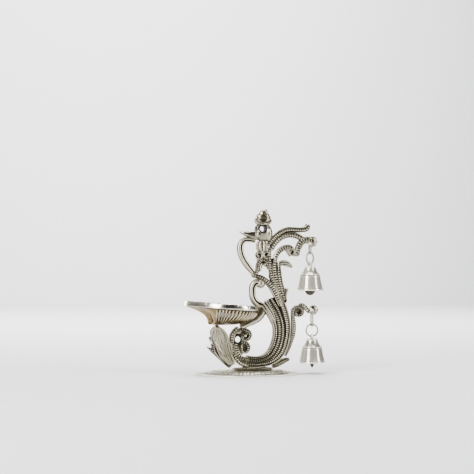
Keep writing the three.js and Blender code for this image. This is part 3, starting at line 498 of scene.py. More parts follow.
def lump(x, y, rx, ry, depth, grooves=0, groove_depth=0.08, twist=0.0):
    """Cast knob: a ball drawn to size, with grooves that run from its front to its back."""
    bpy.ops.mesh.primitive_uv_sphere_add(segments=36, ring_count=20, radius=1)
    piece = named("lump")
    points = points_of(piece)
    if grooves:
        turn = np.arctan2(points[:, 1], points[:, 0]) + twist * points[:, 2]
        valley = np.abs(np.cos(turn * grooves / 2)) ** 0.6
        ring = 1 - np.abs(points[:, 2]) ** 4
        points[:, :2] *= (1 - groove_depth * (1 - valley) * ring)[:, None]
    mark_low(piece, np.abs(points[:, 2]), 0.0, 0.5)
    points *= np.array([rx, ry, depth / 2]) * MM
    points[:, :2] += np.array([x, y]) * MM
    place_points(piece, points)
    return piece


def dish(x, y, radius, depth, hollow=0.35):
    """Round web behind a volute, dished on both faces."""
    border = 0.18 * radius
    piece = drum("dish", x, y, radius, depth, 40)
    edit(piece)
    pick(piece, "faces", lambda face: abs(face.normal.z) > 0.9)
    bpy.ops.mesh.inset(thickness=border * MM)
    bpy.ops.transform.resize(value=(1, 1, 1 - hollow))
    bpy.ops.mesh.poke()
    done()
    return piece


def ring_of_wire(radius, wire, sides=14, count=72):
    bpy.ops.mesh.primitive_torus_add(
        major_segments=count, minor_segments=sides, major_radius=radius * MM, minor_radius=wire * MM
    )
    return named("ring")


def turned(name, profile, steps=96):
    """Lathe work: a point drawn along the profile of (radius, height), then spun round Z."""
    bpy.ops.mesh.primitive_plane_add(size=0.01)
    piece = named(name)
    edit(piece, "SELECT")
    bpy.ops.mesh.merge(type="CENTER")
    radius, height = profile[0]
    bpy.ops.transform.translate(value=(radius * MM, 0, height * MM))
    for (r0, z0), (r1, z1) in zip(profile, profile[1:]):
        bpy.ops.mesh.extrude_region_move(
            TRANSFORM_OT_translate={"value": ((r1 - r0) * MM, 0, (z1 - z0) * MM)}
        )
    bpy.ops.mesh.select_all(action="SELECT")
    bpy.ops.mesh.spin(steps=steps, angle=math.tau, center=(0, 0, 0), axis=(0, 0, 1))
    done()
    close_ends(piece)
    return piece


def drilled(piece, x, y):
    """Opens the eyelet that a link hangs in: narrowest in the middle, wider toward both faces."""
    drill = turned("eyelet_drill", [(0, -8), (4.4, -8), (1.6, 0), (4.4, 8), (0, 8)], 48)
    drill.location = (x * MM, y * MM, 0)
    return cut_out(piece, drill)


def groove(at, place, width):
    """Depth of a soft groove at this place: 1 in its middle, fading to both sides."""
    return np.exp(-(((at - place) / width) ** 2))


def mark_hollows(piece):
    """Stores how hollow each point lies among its neighbours: 0.5 flat, more in a groove, less on a ridge."""
    own_share, contrast = 0.6, 1.4
    mesh = piece.data
    count = len(mesh.vertices)
    points = points_of(piece)
    normals = np.empty(count * 3, np.float32)
    mesh.vertices.foreach_get("normal", normals)
    edges = np.empty(len(mesh.edges) * 2, np.int32)
    mesh.edges.foreach_get("vertices", edges)
    start, end = edges.reshape(-1, 2).T
    total, lengths = np.zeros((count, 3)), np.zeros(count)
    span = points[end] - points[start]
    size = np.linalg.norm(span, axis=1)
    for at, sign in ((start, 1), (end, -1)):
        for k in range(3):
            total[:, k] += np.bincount(at, sign * span[:, k], count)
        lengths += np.bincount(at, size, count)
    hollow = (total * normals.reshape(-1, 3)).sum(1) / np.maximum(lengths, 1e-9)
    around = np.bincount(start, hollow[end], count) + np.bincount(end, hollow[start], count)
    degree = np.maximum(np.bincount(edges, minlength=count), 1)
    hollow = own_share * hollow + (1 - own_share) * around / degree
    layer = mesh.attributes.get("hollow") or mesh.attributes.new("hollow", "FLOAT", "POINT")
    layer.data.foreach_set("value", np.clip(0.5 + contrast * hollow, 0, 1).astype(np.float32))


def finished(piece, material, body, nodes, angle=50):
    """Gives a piece its finish, hands it to the body and hides the CAD nodes that it stands for."""
    smooth_faces(piece, angle)
    mark_hollows(piece)
    piece.data.materials.clear()
    piece.data.materials.append(material)
    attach(piece, body)
    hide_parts(*nodes)
    return piece


def casting(name, parts, nodes):
    """Joins flat-drawn strands, stands them on the foot and finishes them."""
    piece = joined(name, parts)
    stand_up(piece, sizes().foot_height)
    return finished(piece, metal("old_silver"), "stand", nodes)


def sizes():
    return bpy.context.scene.lamp_sizes


def colours():
    return bpy.context.scene.lamp_colours


# Finishes


def feed(socket, value):
    """Gives a socket its value, or links it to the socket that feeds it."""
    if isinstance(value, bpy.types.NodeSocket):
        socket.id_data.links.new(value, socket)
    else:
        socket.default_value = value


def node(tree, kind, inputs=None, **settings):
    """Adds a node. Inputs are values or the sockets that feed them."""
    made = tree.nodes.new(kind)
    for key, value in settings.items():
        setattr(made, key, value)
    for key, value in (inputs or {}).items():
        feed(made.inputs[key], value)
    return made


def effect(name, inputs, outputs):
    """An empty node group with these named inputs and outputs."""
    tree = bpy.data.node_groups.new(name, "ShaderNodeTree")
    for label, kind, value in inputs:
        socket = tree.interface.new_socket(name=label, in_out="INPUT", socket_type="NodeSocket" + kind)
        socket.default_value = value
    for label, kind in outputs:
        tree.interface.new_socket(name=label, in_out="OUTPUT", socket_type="NodeSocket" + kind)
    return tree, tree.nodes.new("NodeGroupInput"), tree.nodes.new("NodeGroupOutput")


def between(tree, value, low, high, to_low=0.0, to_high=1.0):
    """Eases from to_low to to_high while the value goes from low to high."""
    inputs = {"Value": value, "From Min": low, "From Max": high, "To Min": to_low, "To Max": to_high}
    return node(tree, "ShaderNodeMapRange", inputs, interpolation_type="SMOOTHSTEP").outputs["Result"]


def maths(tree, operation, a, b, c=0.0, clamp=False):
    return node(tree, "ShaderNodeMath", {0: a, 1: b, 2: c}, operation=operation, use_clamp=clamp).outputs[0]


def blended(tree, share, a, b):
    """Colour between a and b."""
    return node(tree, "ShaderNodeMix", {"Factor": share, 6: a, 7: b}, data_type="RGBA").outputs[2]


def noise(tree, scale, detail=3.0, drag=None):
    """Even noise. Where drag is less than 1 its patches are drawn out into upright streaks."""
    place = node(tree, "ShaderNodeTexCoord").outputs["Object"]
    if drag:
        apart = node(tree, "ShaderNodeSeparateXYZ", {"Vector": place}).outputs
        low = maths(tree, "MULTIPLY", apart["Z"], drag)
        place = node(tree, "ShaderNodeCombineXYZ", {"X": apart["X"], "Y": apart["Y"], "Z": low}).outputs["Vector"]
    inputs = {"Vector": place, "Scale": scale, "Detail": detail, "Roughness": 0.5}
    return node(tree, "ShaderNodeTexNoise", inputs).outputs["Fac"]


def tarnish_and_shade_effect():
    """Dark oxide that stays in the hollows and wears off the ridges, over uneven silver, with painted shade where
    little light gets in and, on the bells, streaks of painted reflection.
    """
    found = bpy.data.node_groups.get("tarnish")
    if found:
        return found
    tree, given, out = effect(
        "tarnish",
        [
            ("Hollow", "Float", 0.5), ("Low", "Float", 0.0), ("Open", "Float", 1.0), ("Silver", "Color", (1, 1, 1, 1)),
            ("Oxide", "Color", (0, 0, 0, 1)), ("Warm", "Color", (1, 1, 1, 1)), ("Amount", "Float", 1.0),
            ("Grime", "Float", 0.5), ("Polish", "Float", 0.25), ("Drag", "Float", 1.0),
        ],
        [("Colour", "Color"), ("Roughness", "Float"), ("Metallic", "Float"), ("Height", "Float")],
    )
    at = given.outputs
    fine = noise(tree, 900.0, 4.0)
    patch = noise(tree, 90.0, drag=at["Drag"])
    uneven = maths(tree, "MULTIPLY_ADD", patch, 0.16, -0.08)
    # Oxide stays in grooves and where no polishing cloth reached; ambient occlusion adds painted shade, partly oxide,
    # where little light gets in
    hollow = maths(tree, "ADD", at["Hollow"], uneven)
    in_groove = between(tree, hollow, 0.51, 0.66)
    in_shade = between(tree, maths(tree, "ADD", at["Open"], uneven), 0.7, 0.25)
    dark = maths(tree, "MAXIMUM", in_groove, in_shade)
    untouched = between(tree, maths(tree, "ADD", at["Low"], uneven), 0.3, 0.9)
    dark = maths(tree, "MAXIMUM", dark, untouched)
    dark = maths(tree, "MULTIPLY", dark, at["Amount"], clamp=True)
    # The rest is warm silver with dirty patches, worn bright on the ridges; on the bells the patches are drawn into
    # upright streaks of painted reflection
    worn = between(tree, hollow, 0.48, 0.34)
    grime_and_streak_share = maths(tree, "MULTIPLY", between(tree, patch, 0.34, 0.66), at["Grime"])
    body = blended(tree, grime_and_streak_share, at["Warm"], at["Oxide"])
    body = blended(tree, maths(tree, "MULTIPLY", worn, 0.85), body, at["Silver"])
    feed(out.inputs["Colour"], blended(tree, dark, body, at["Oxide"]))
    # Oxide is duller and less metallic than silver
    rough = maths(tree, "ADD", at["Polish"], maths(tree, "MULTIPLY", fine, 0.14))
    rough = maths(tree, "ADD", rough, maths(tree, "MULTIPLY", dark, 0.3), clamp=True)
    feed(out.inputs["Roughness"], rough)
    feed(out.inputs["Metallic"], between(tree, dark, 0.0, 1.0, 1.0, 0.55))
    feed(out.inputs["Height"], maths(tree, "ADD", fine, maths(tree, "MULTIPLY", patch, 2.0)))
    return tree


def rgba(colour):
    return (*colour, 1.0)


# Each finish: colour on its ridges, colour in its patches, oxide in its hollows, grime in its patches, roughness,
# relief, drag of its patches into streaks, and how metallic it is where it has a satin skin.
FINISHES = {
    "old_silver": ("silver", "warm_silver", 1.0, 0.55, 0.22, 0.35, 1.0, None),
    "head_silver": ("bright", "bright_warm", 1.0, 0.45, 0.2, 0.3, 1.0, None),
    "chain_silver": ("bright_warm", "warm_silver", 1.0, 0.6, 0.18, 0.2, 1.0, None),
    "foot_silver": ("bell", "bell_streak_reflection_and_foot_patch", 0.75, 0.4, 0.34, 0.6, 1.0, None),
    # On the bells the dark patches are dragged into upright streaks of painted reflection
    "bell_silver": ("bell", "bell_streak_reflection_and_foot_patch", 1.0, 0.35, 0.1, 0.04, 0.12, 0.55),
    "bowl_silver": ("bright", "bowl_gold", 1.0, 0.45, 0.14, 0.15, 1.0, None),
    "bowl_inside_silver": ("bright", "bright", 0.4, 0.1, 0.42, 0.15, 1.0, None),
    "screw_steel": ("steel", "steel", 0.3, 0.1, 0.3, 0.2, 1.0, None),
}


def metal(name):
    """Material of one of the finishes."""
    found = bpy.data.materials.get(name)
    if found:
        return found
    ridge, patch, amount, grime_and_reflection_streaks, polish, bump, drag, metallic = FINISHES[name]
    material = bpy.data.materials.new(name)
    material.use_nodes = True
    material.diffuse_color = rgba(getattr(colours(), ridge))
    tree = material.node_tree
    # Ambient occlusion: painted shade in crevices between strands, blended with the oxide
    around = node(tree, "ShaderNodeAmbientOcclusion", {"Distance": 3.5 * MM}, samples=8, only_local=True)
    inputs = {
        "Hollow": node(tree, "ShaderNodeAttribute", attribute_name="hollow").outputs["Fac"],
        "Low": node(tree, "ShaderNodeAttribute", attribute_name="low").outputs["Fac"],
        "Open": around.outputs["AO"],
        "Silver": rgba(getattr(colours(), ridge)),
        "Warm": rgba(getattr(colours(), patch)),
        "Oxide": rgba(colours().oxide),
        "Amount": amount, "Grime": grime_and_reflection_streaks, "Polish": polish, "Drag": drag,
    }
    group = tree.nodes.new("ShaderNodeGroup")
    group.node_tree = tarnish_and_shade_effect()
    for key, value in inputs.items():
        feed(group.inputs[key], value)
    relief = {"Height": group.outputs["Height"], "Strength": bump, "Distance": 0.1 * MM}
    shader = tree.nodes["Principled BSDF"].inputs
    feed(shader["Base Color"], group.outputs["Colour"])
    feed(shader["Roughness"], group.outputs["Roughness"])
    feed(shader["Metallic"], metallic or group.outputs["Metallic"])
    feed(shader["Normal"], node(tree, "ShaderNodeBump", relief).outputs["Normal"])
    return material


# Sizes and colours that a user would change


def length_setting(name, description, default, least):
    return FloatProperty(name=name, description=description, default=default, min=least, unit="LENGTH")


def colour_setting(name, description, *default):
    return FloatVectorProperty(
        name=name, description=description, default=default, subtype="COLOR", size=3, min=0, max=1
    )


class LampSizes(bpy.types.PropertyGroup):
    """Sizes of the lamp stand, in metres"""

    foot_length: length_setting("Foot length", "Length of the oval foot", FOOT_BOX.x, 0.05)
    foot_width: length_setting("Foot width", "Width of the oval foot", FOOT_BOX.y, 0.03)
    foot_height: length_setting("Foot height", "Height of the foot's plateau", FOOT_BOX.z, 0.001)
    flange: length_setting("Flange", "Thickness of the foot's flange", 0.0016, 0.0005)
    plateau_length: length_setting("Plateau length", "Length of the foot's raised part", 0.081, 0.03)
    slope: length_setting("Slope", "Run of the plateau's sloping side", 0.004, 0.0005)
    petals: IntProperty(name="Petals", description="Petals cut round the foot", default=22, min=6, max=60)
    bowl_width: length_setting("Bowl width", "Width of the bowl's fluted wall", 0.05, 0.02)
    bowl_flutes: IntProperty(name="Flutes", description="Flutes on each side of the bowl", default=17, min=5, max=40)
    wire: length_setting("Wire", "Radius of the wire of links and rings", 0.00075, 0.0003)
    ring_radius: length_setting("Ring radius", "Radius of the rings that carry the bells", 0.006, 0.003)


class LampColours(bpy.types.PropertyGroup):
    """Colours of the lamp stand"""

    silver: colour_setting("Old silver", "Ridges of the castings", 0.6, 0.565, 0.45)
    warm_silver: colour_setting("Warm silver", "Worn patches of the castings and of the chains", 0.23, 0.2, 0.125)
    oxide: colour_setting("Oxide", "Dark oxide in the hollows", 0.018, 0.016, 0.011)
    bright: colour_setting("Bright silver", "Silver of the head and the bowl", 0.7, 0.68, 0.6)
    bright_warm: colour_setting("Bright patches", "Warmer patches of the head, and the chains", 0.42, 0.4, 0.31)
    bowl_gold: colour_setting("Bowl's wall", "Pale gold cast of the bowl's wall", 0.3, 0.225, 0.11)
    bell: colour_setting("Bell", "Silver of the bells and the foot", 0.95, 0.92, 0.81)
    # Painted reflection: colour of the upright streaks on the bells; on the foot, colour of its darker patches
    bell_streak_reflection_and_foot_patch: colour_setting("Bell's shade", "Darker streaks of the bells and the foot", 0.62, 0.6, 0.5)
    steel: colour_setting("Steel", "Screws and staples", 0.55, 0.55, 0.54)
    floor: colour_setting("Floor", "Floor under the lamp stand", 0.86, 0.86, 0.87)


# Pieces


class LAMP_OT_foot(bpy.types.Operator):
    """Models the oval foot with its flange, plateau and cut petals"""

    bl_idname = "lamp.foot"
    bl_label = "Foot"

    def execute(self, context):
        s = sizes()
        reach = Vector((s.foot_length / 2, s.foot_width / 2))
        slope = s.plateau_length / s.foot_length
        plateau = (s.plateau_length - 2 * s.slope) / s.foot_length
        edge, petal_depth = 0.985, 0.5 * MM
        rings = [(edge, 0), (1, 0.3 * s.flange), (1, 0.8 * s.flange), (edge, s.flange)]
        rings += [(edge - (edge - slope - 0.02) * i / 8, s.flange) for i in range(1, 9)]
        rings += [(slope, 1.5 * s.flange), (plateau + 0.012, 0.95 * s.foot_height)]
        rings += [(plateau, s.foot_height)]
        rings += [(plateau * (1 - 0.02 * i), s.foot_height) for i in range(1, 36)]
        foot = hoop("foot", s.petals * 14)
        edit(foot, "SELECT")
        bpy.ops.transform.resize(value=(reach.x * rings[0][0], reach.y * rings[0][0], 1))
        for (r0, z0), (r1, z1) in zip(rings, rings[1:]):
            pull_edges(0, 0, z1 - z0)
            bpy.ops.transform.resize(value=(r1 / r0, r1 / r0, 1), center_override=(0, 0, z1))
        done()
        close_ends(foot, 0.001 * MM)
        points = points_of(foot)
        # Where each point lies: 1 is the plateau's edge, 0 its middle
        share = np.hypot(points[:, 0] / reach.x, points[:, 1] / reach.y) / plateau
        turn = np.arctan2(points[:, 1] / reach.y, points[:, 0] / reach.x)
        petal = np.abs(np.sin(turn * s.petals / 2))
        fine = np.abs(np.sin(turn * s.petals * 1.5))
        arch = 0.97 - 0.2 * (1 - petal) ** 1.5
        # How much of the cut each point gets: petal tips, seams between petals, veins, two rings inside, scallops
        on_top = np.clip((points[:, 2] - 0.95 * s.foot_height) / (0.02 * s.foot_height), 0, 1)
        on_flange = (share > slope / plateau) * (points[:, 2] > 0.9 * s.flange)
        tip = groove(share, arch, 0.04)
        seam = (petal < 0.28) * (share < 0.97) * (share > 0.58)
        vein = (fine < 0.34) * (share < arch - 0.05) * (share > 0.62)
        inner = groove(share, 0.56, 0.03) + groove(share, 0.46, 0.025)
        scallop = 1.27 - 0.11 * (1 - fine) ** 1.5
        rim = groove(share, scallop, 0.025) + (fine < 0.32) * (share < 1.28)
        cut = on_top * np.clip(tip + seam + vein + inner, 0, 1) + on_flange * np.clip(rim, 0, 1)
        points[:, 2] -= cut * petal_depth
        place_points(foot, points)
        on_slope = (points[:, 2] > 1.2 * s.flange) * (points[:, 2] < 0.97 * s.foot_height)
        cut = np.maximum(cut, on_slope * (fine < 0.5))
        mark_low(foot, 1 - 0.5 * cut)
        finished(foot, metal("foot_silver"), "stand", ["foot_plate"], 60)
        return {"FINISHED"}


class LAMP_OT_tail(bpy.types.Operator):
    """Models the tail: four ribbed strands, thin barbs, the sole and the rear leaf"""

    bl_idname = "lamp.tail"
    bl_label = "Tail"

    def execute(self, context):
        parts = [
            strand(TAIL_INNER[::-1], 9.4, "banded", pitch=2),
            strand(TAIL_SECOND, 8.4, "ribbed", pitch=2.2),
            strand(TAIL_THIRD, 6.6, "ribbed", pitch=2),
            strand(TAIL_OUTER, 9, "banded", pitch=2.1),
            web(TAIL_WEB, 5),
            strand(SOLE, 10.4, "smooth", deepest=3.4),
        ]
        parts += [strand(route, 10, "smooth", deepest=6) for route in TAIL_BARBS]
        casting("tail_feathers", parts, ["tail_sweep"])
        casting("rear_leaf_casting", [strand(REAR_LEAF, 6, "grooved")], ["rear_leaf"])
        return {"FINISHED"}


class LAMP_OT_front_scroll(bpy.types.Operator):
    """Models the beaded band, the inner band and the two volutes in front of the tail"""

    bl_idname = "lamp.front_scroll"
    bl_label = "Front scroll"

    def execute(self, context):
        upper = [(-11, 39.4, 3.6), (-6.4, 41, 3.6), *spiral(-2.4, 34.6, 5.4, 1.7, 84, -1.2, 4.4)]
        parts = [
            strand(BEADED_BAND, 7.4, "beaded"),
            strand(INNER_BAND, 6.8, "ribbed", pitch=2.4),
            web(FRONT_WEB, 4.4),
            strand(upper, 7.6, "banded", pitch=2.2),
            strand(FRONT_HOOK, 7.6, "banded", pitch=2.4),
            dish(-2.4, 34.6, 5.2, 4.6, 0.2),
            dish(-2.2, 22.6, 4.8, 4.2, 0.2),
            lump(-2.6, 34.4, 2.3, 2.3, 8.4),
            lump(-7.6, 20.6, 3.8, 6.2, 4.6),
            lump(-9.4, 38, 3.6, 2.8, 5.4),
        ]
        # Ring round the pierced hole between the beaded band and the volutes, painted dark all over as the shade on
        # the hole's inner wall
        shaded_hole_ring = placed(ring_of_wire(3.9, 1.3, 14, 48), (-10, 31, 0), size=(1, 1.1, 2.3))
        mark_low(shaded_hole_ring, 0.66)
        parts.append(shaded_hole_ring)
        casting("front_scrollwork", parts, ["front_scroll"])
        return {"FINISHED"}


class LAMP_OT_leaf_cup(bpy.types.Operator):
    """Models the open leaf under the bowl, its lower lobe and the knob that carries the bowl"""

    bl_idname = "lamp.leaf_cup"
    bl_label = "Leaf cup"

    def execute(self, context):
        parts = [
            strand(LEAF_MIDRIB, 12, "channel", deepest=1),
            strand(LEAF_LOBE, 7, "banded", pitch=2.6),
            strand(LEAF_RIGHT, 10, "smooth", deepest=6),
            strand(LEAF_LEFT, 10, "smooth", deepest=6),
            strand(LEAF_TIP, 9, "railed", deepest=3),
            strand([(-20, 8, 2), (-27, 16, 4), (-32.6, 22.4, 4.4), (-37.4, 27, 1)], 7.6, "railed", deepest=3),
            lump(-31.4, 42.8, 3.2, 2.8, 6, 8),
        ]
        right, left = np.array(LEAF_RIGHT), np.array(LEAF_LEFT)
        for share in (0.18, 0.36, 0.54, 0.72, 0.87):
            stripe = right * (1 - share) + left * share
            stripe[:, 2] = np.interp(np.arange(len(stripe)), [0, 2, 6], [1.4, 2.9, 1.5])
            parts.append(strand([tuple(point) for point in stripe], 8.5, "smooth", deepest=6))
        casting("leaf_cup_casting", parts, ["leaf_cup"])
        return {"FINISHED"}


class LAMP_OT_neck(bpy.types.Operator):
    """Models the ribbed strands of the neck, the hooked leaf and the bud"""

    bl_idname = "lamp.neck"
    bl_label = "Neck strands"

    def execute(self, context):
        parts = [
            strand(NECK_ROPE, 8.6, "ribbed", pitch=2.4),
            strand(NECK_FRONT, 7, "ribbed", pitch=2.4),
            strand(NECK_MIDDLE, 7.6, "ribbed", pitch=2.4),
            strand(NECK_BACK, 7, "banded", pitch=2.4),
            web(NECK_WEB, 4.6),
            strand(NECK_LEAF, 6, "grooved"),
            strand(NECK_BUD_STEM, 5, "smooth"),
            lump(39.2, 79.6, 2.6, 2.8, 5, 5, 0.12),
        ]
        casting("neck_feathers", parts, ["neck_strands"])
        panel = [
            strand([(x, y, 1.12 * w) for x, y, w in COLLAR], 6.6, "fluted", deepest=1),
            strand(spiral(11.4, 115, 4.1, 0.9, 250, 1.15, 2.6), 7.4, "smooth", deepest=3),
            strand(spiral(19.4, 115.6, 4.1, 0.9, 290, -1.15, 2.6), 7.4, "smooth", deepest=3),
            dish(11.6, 115, 3.9, 4),
            dish(19.2, 115.6, 3.9, 4),
            strand(PANEL_ARCH, 6.6, "banded", pitch=2),
            strand(PANEL_INNER_ARCH, 5.6, "smooth"),
            lump(15.2, 111.6, 6.4, 4.6, 4.4),
            lump(6.6, 95, 3.1, 3.1, 6.4, 7, 0.2),
        ]
        casting("neck_panel_casting", panel, ["neck_panel"])
        return {"FINISHED"}


class LAMP_OT_curls(bpy.types.Operator):
    """Models the throat curl, the beak loop and the arm behind the bowl"""

    bl_idname = "lamp.curls"
    bl_label = "Curls and arm"

    def execute(self, context):
        curl = [strand(THROAT_CURL, 8, "railed"), lump(13.4, 86, 4.4, 4.4, 9)]
        casting("throat_curl_casting", curl, ["throat_curl"])
        casting("beak_loop_casting", [strand(BEAK_LOOP, 7, "railed")], ["beak_loop"])
        arm = [
            strand(BOWL_ARM, 8.4, "smooth"),
            strand(ARM_EDGE, 7, "ribbed", pitch=2.2),
            lump(14.6, 60, 4.8, 6.6, 8.6),
        ]
        casting("bowl_arm_casting", arm, ["bowl_arm"])
        return {"FINISHED"}


class LAMP_OT_brackets(bpy.types.Operator):
    """Models the brackets that carry the two bells"""

    bl_idname = "lamp.brackets"
    bl_label = "Brackets"

    def execute(self, context):
        scroll = spiral(45.2, 117.6, 3.4, 1.2, 80, -1, 2.4)
        upper = [
            strand(CREST_STRAND, 5.8, "banded", pitch=2.3),
            strand(MIDDLE_STRAND, 6.2, "banded", pitch=2.5),
            strand(LOWER_STRAND, 5.8, "ribbed", pitch=2.5),
            strand(spiral(55.4, 131.4, 2.4, 0.8, 60, -1, 2.1), 6.6, "smooth"),
            strand([(57, 139.6, 3), (59.6, 143.6, 2.6), (60.4, 147.4, 0.8)], 4.6, "grooved"),
            strand(scroll, 6, "smooth", deepest=3),
            strand([(39.6, 120.4, 3.2), (42.2, 117, 3.4), (43.2, 113.4, 1.2)], 5, "grooved"),
            strand([(47.2, 117.2, 3), (50.8, 115.2, 3.2), (53.4, 117.6, 1.2)], 5, "grooved"),
            dish(45.2, 117.6, 3.2, 3),
            drilled(strand(BOSS_STRAND, 5.4, "ribbed", pitch=2.4), *UPPER_EYELET),
            drilled(lump(66.4, 128.8, 5.3, 5.8, 5.4, 7, 0.16, 0.8), *UPPER_EYELET),
        ]
        casting("upper_bracket_casting", upper, ["upper_bracket"])
        curl = spiral(51.8, 57.8, 5.7, 1.8, 170, -1.25, 4.2)
        lower = [
            strand([*BRACKET_STEM, *curl[1:]], 5.8, "banded", pitch=2.2),
            dish(51.8, 57.8, 5, 3),
            drilled(strand(BRACKET_ARM, 5.2, "ribbed", pitch=2.4), *LOWER_EYELET),
            drilled(lump(67.6, 59.8, 5, 5, 5.2, 6, 0.16, 0.8), *LOWER_EYELET),
        ]
        casting("lower_bracket_casting", lower, ["lower_bracket"])
        return {"FINISHED"}


class LAMP_OT_head(bpy.types.Operator):
    """Models the peacock's head with its pierced eye and beak, and the crest on it"""

    bl_idname = "lamp.head"
    bl_label = "Head and crest"

    def skinned(self, name, parts):
        """Joins lumps under one smooth skin."""
        piece = joined(name, parts)
        skin = piece.modifiers.new("Skin", "REMESH")
        skin.mode = "VOXEL"
        skin.voxel_size = 0.3 * MM
        ease = piece.modifiers.new("Ease", "SMOOTH")
        ease.factor, ease.iterations = 0.5, 6
        apply_modifiers(piece)
        return piece

    def execute(self, context):
        parts = [
            lump(15.6, 137.6, 8.9, 9.4, 13.5),
            lump(20.6, 136.4, 5, 8, 11.5),
            lump(15.6, 142.2, 8.2, 4.9, 10.5),
            lump(11, 135.4, 5, 5, 12.6),
            strand(BEAK, 8.4, "smooth"),
        ]
        head = self.skinned("head_casting", parts)
        cut_out(head, drum("eye_drill", *EYE, 3, 30, 48))
        points = points_of(head) / MM
        from_eye = np.hypot(points[:, 0] - EYE[0], points[:, 1] - EYE[1])
        along_beak = np.abs(points[:, 1] - 135.6 - 0.012 * (points[:, 0] - 4) ** 2) + 2 * (points[:, 0] > 4.5)
        # Painted shade: a dark ring round the eye hole, out to 4.9 mm from its middle, for the shadow on the hole's
        # inner wall; also a dark line along the mouth
        eye_rim_shade, mouth = 0.6 + 0.4 * (from_eye - 4.1) / 0.8, 0.6 + 0.5 * along_beak
        mark_low(head, np.maximum(np.minimum(eye_rim_shade, mouth), 0.5))
        eyelid = placed(ring_of_wire(5, 0.5, 12, 48), (*EYE, 0), size=(1, 1, 11.4))
        mark_low(eyelid, 1)
        head = stand_up(joined("head_casting", [head, eyelid]), sizes().foot_height)
        finished(head, metal("head_silver"), "stand", ["peacock_head"], 40)
        crest = [
            lump(16, 149.8, 8.9, 5.2, 9.4, 11, 0.1),
            lump(16.2, 153, 7.4, 5.4, 8.6, 9, 0.12),
            lump(16.8, 156.6, 4.6, 4.4, 6.4, 7, 0.12),
        ]
        for lobe in crest:
            points = points_of(lobe) / MM
            mark_low(lobe, 0.6 + 0.4 * np.hypot((points[:, 0] - 15.4) / 4.2, (points[:, 1] - 149.4) / 2.4) ** 3)
        crest += [
            strand([(13.4, 154, 3), (15, 157.6, 2.6), (16, 160.2, 1)], 4.4, "smooth"),
            strand([(17.6, 153, 5), (18.8, 158, 4), (19.5, 161.8, 1)], 5, "smooth"),
            strand(CREST_BAND, 10.4, "smooth", deepest=5),
            strand([(18.4, 149.4, 1.4), (21.4, 150.4, 1.8), (23.8, 152.4, 1.4)], 9.6, "smooth", deepest=6),
            strand([(8.2, 152.4, 1.4), (10.2, 150.6, 1.8), (12.4, 150.4, 1.4)], 9.6, "smooth", deepest=6),
        ]
        casting("crest_casting", crest, ["head_crest"])
        return {"FINISHED"}


# Shares of each side where the rim is notched
RIM_NOTCHES = (0.1, 0.2, 0.31, 0.42, 0.53, 0.64, 0.76, 0.88)


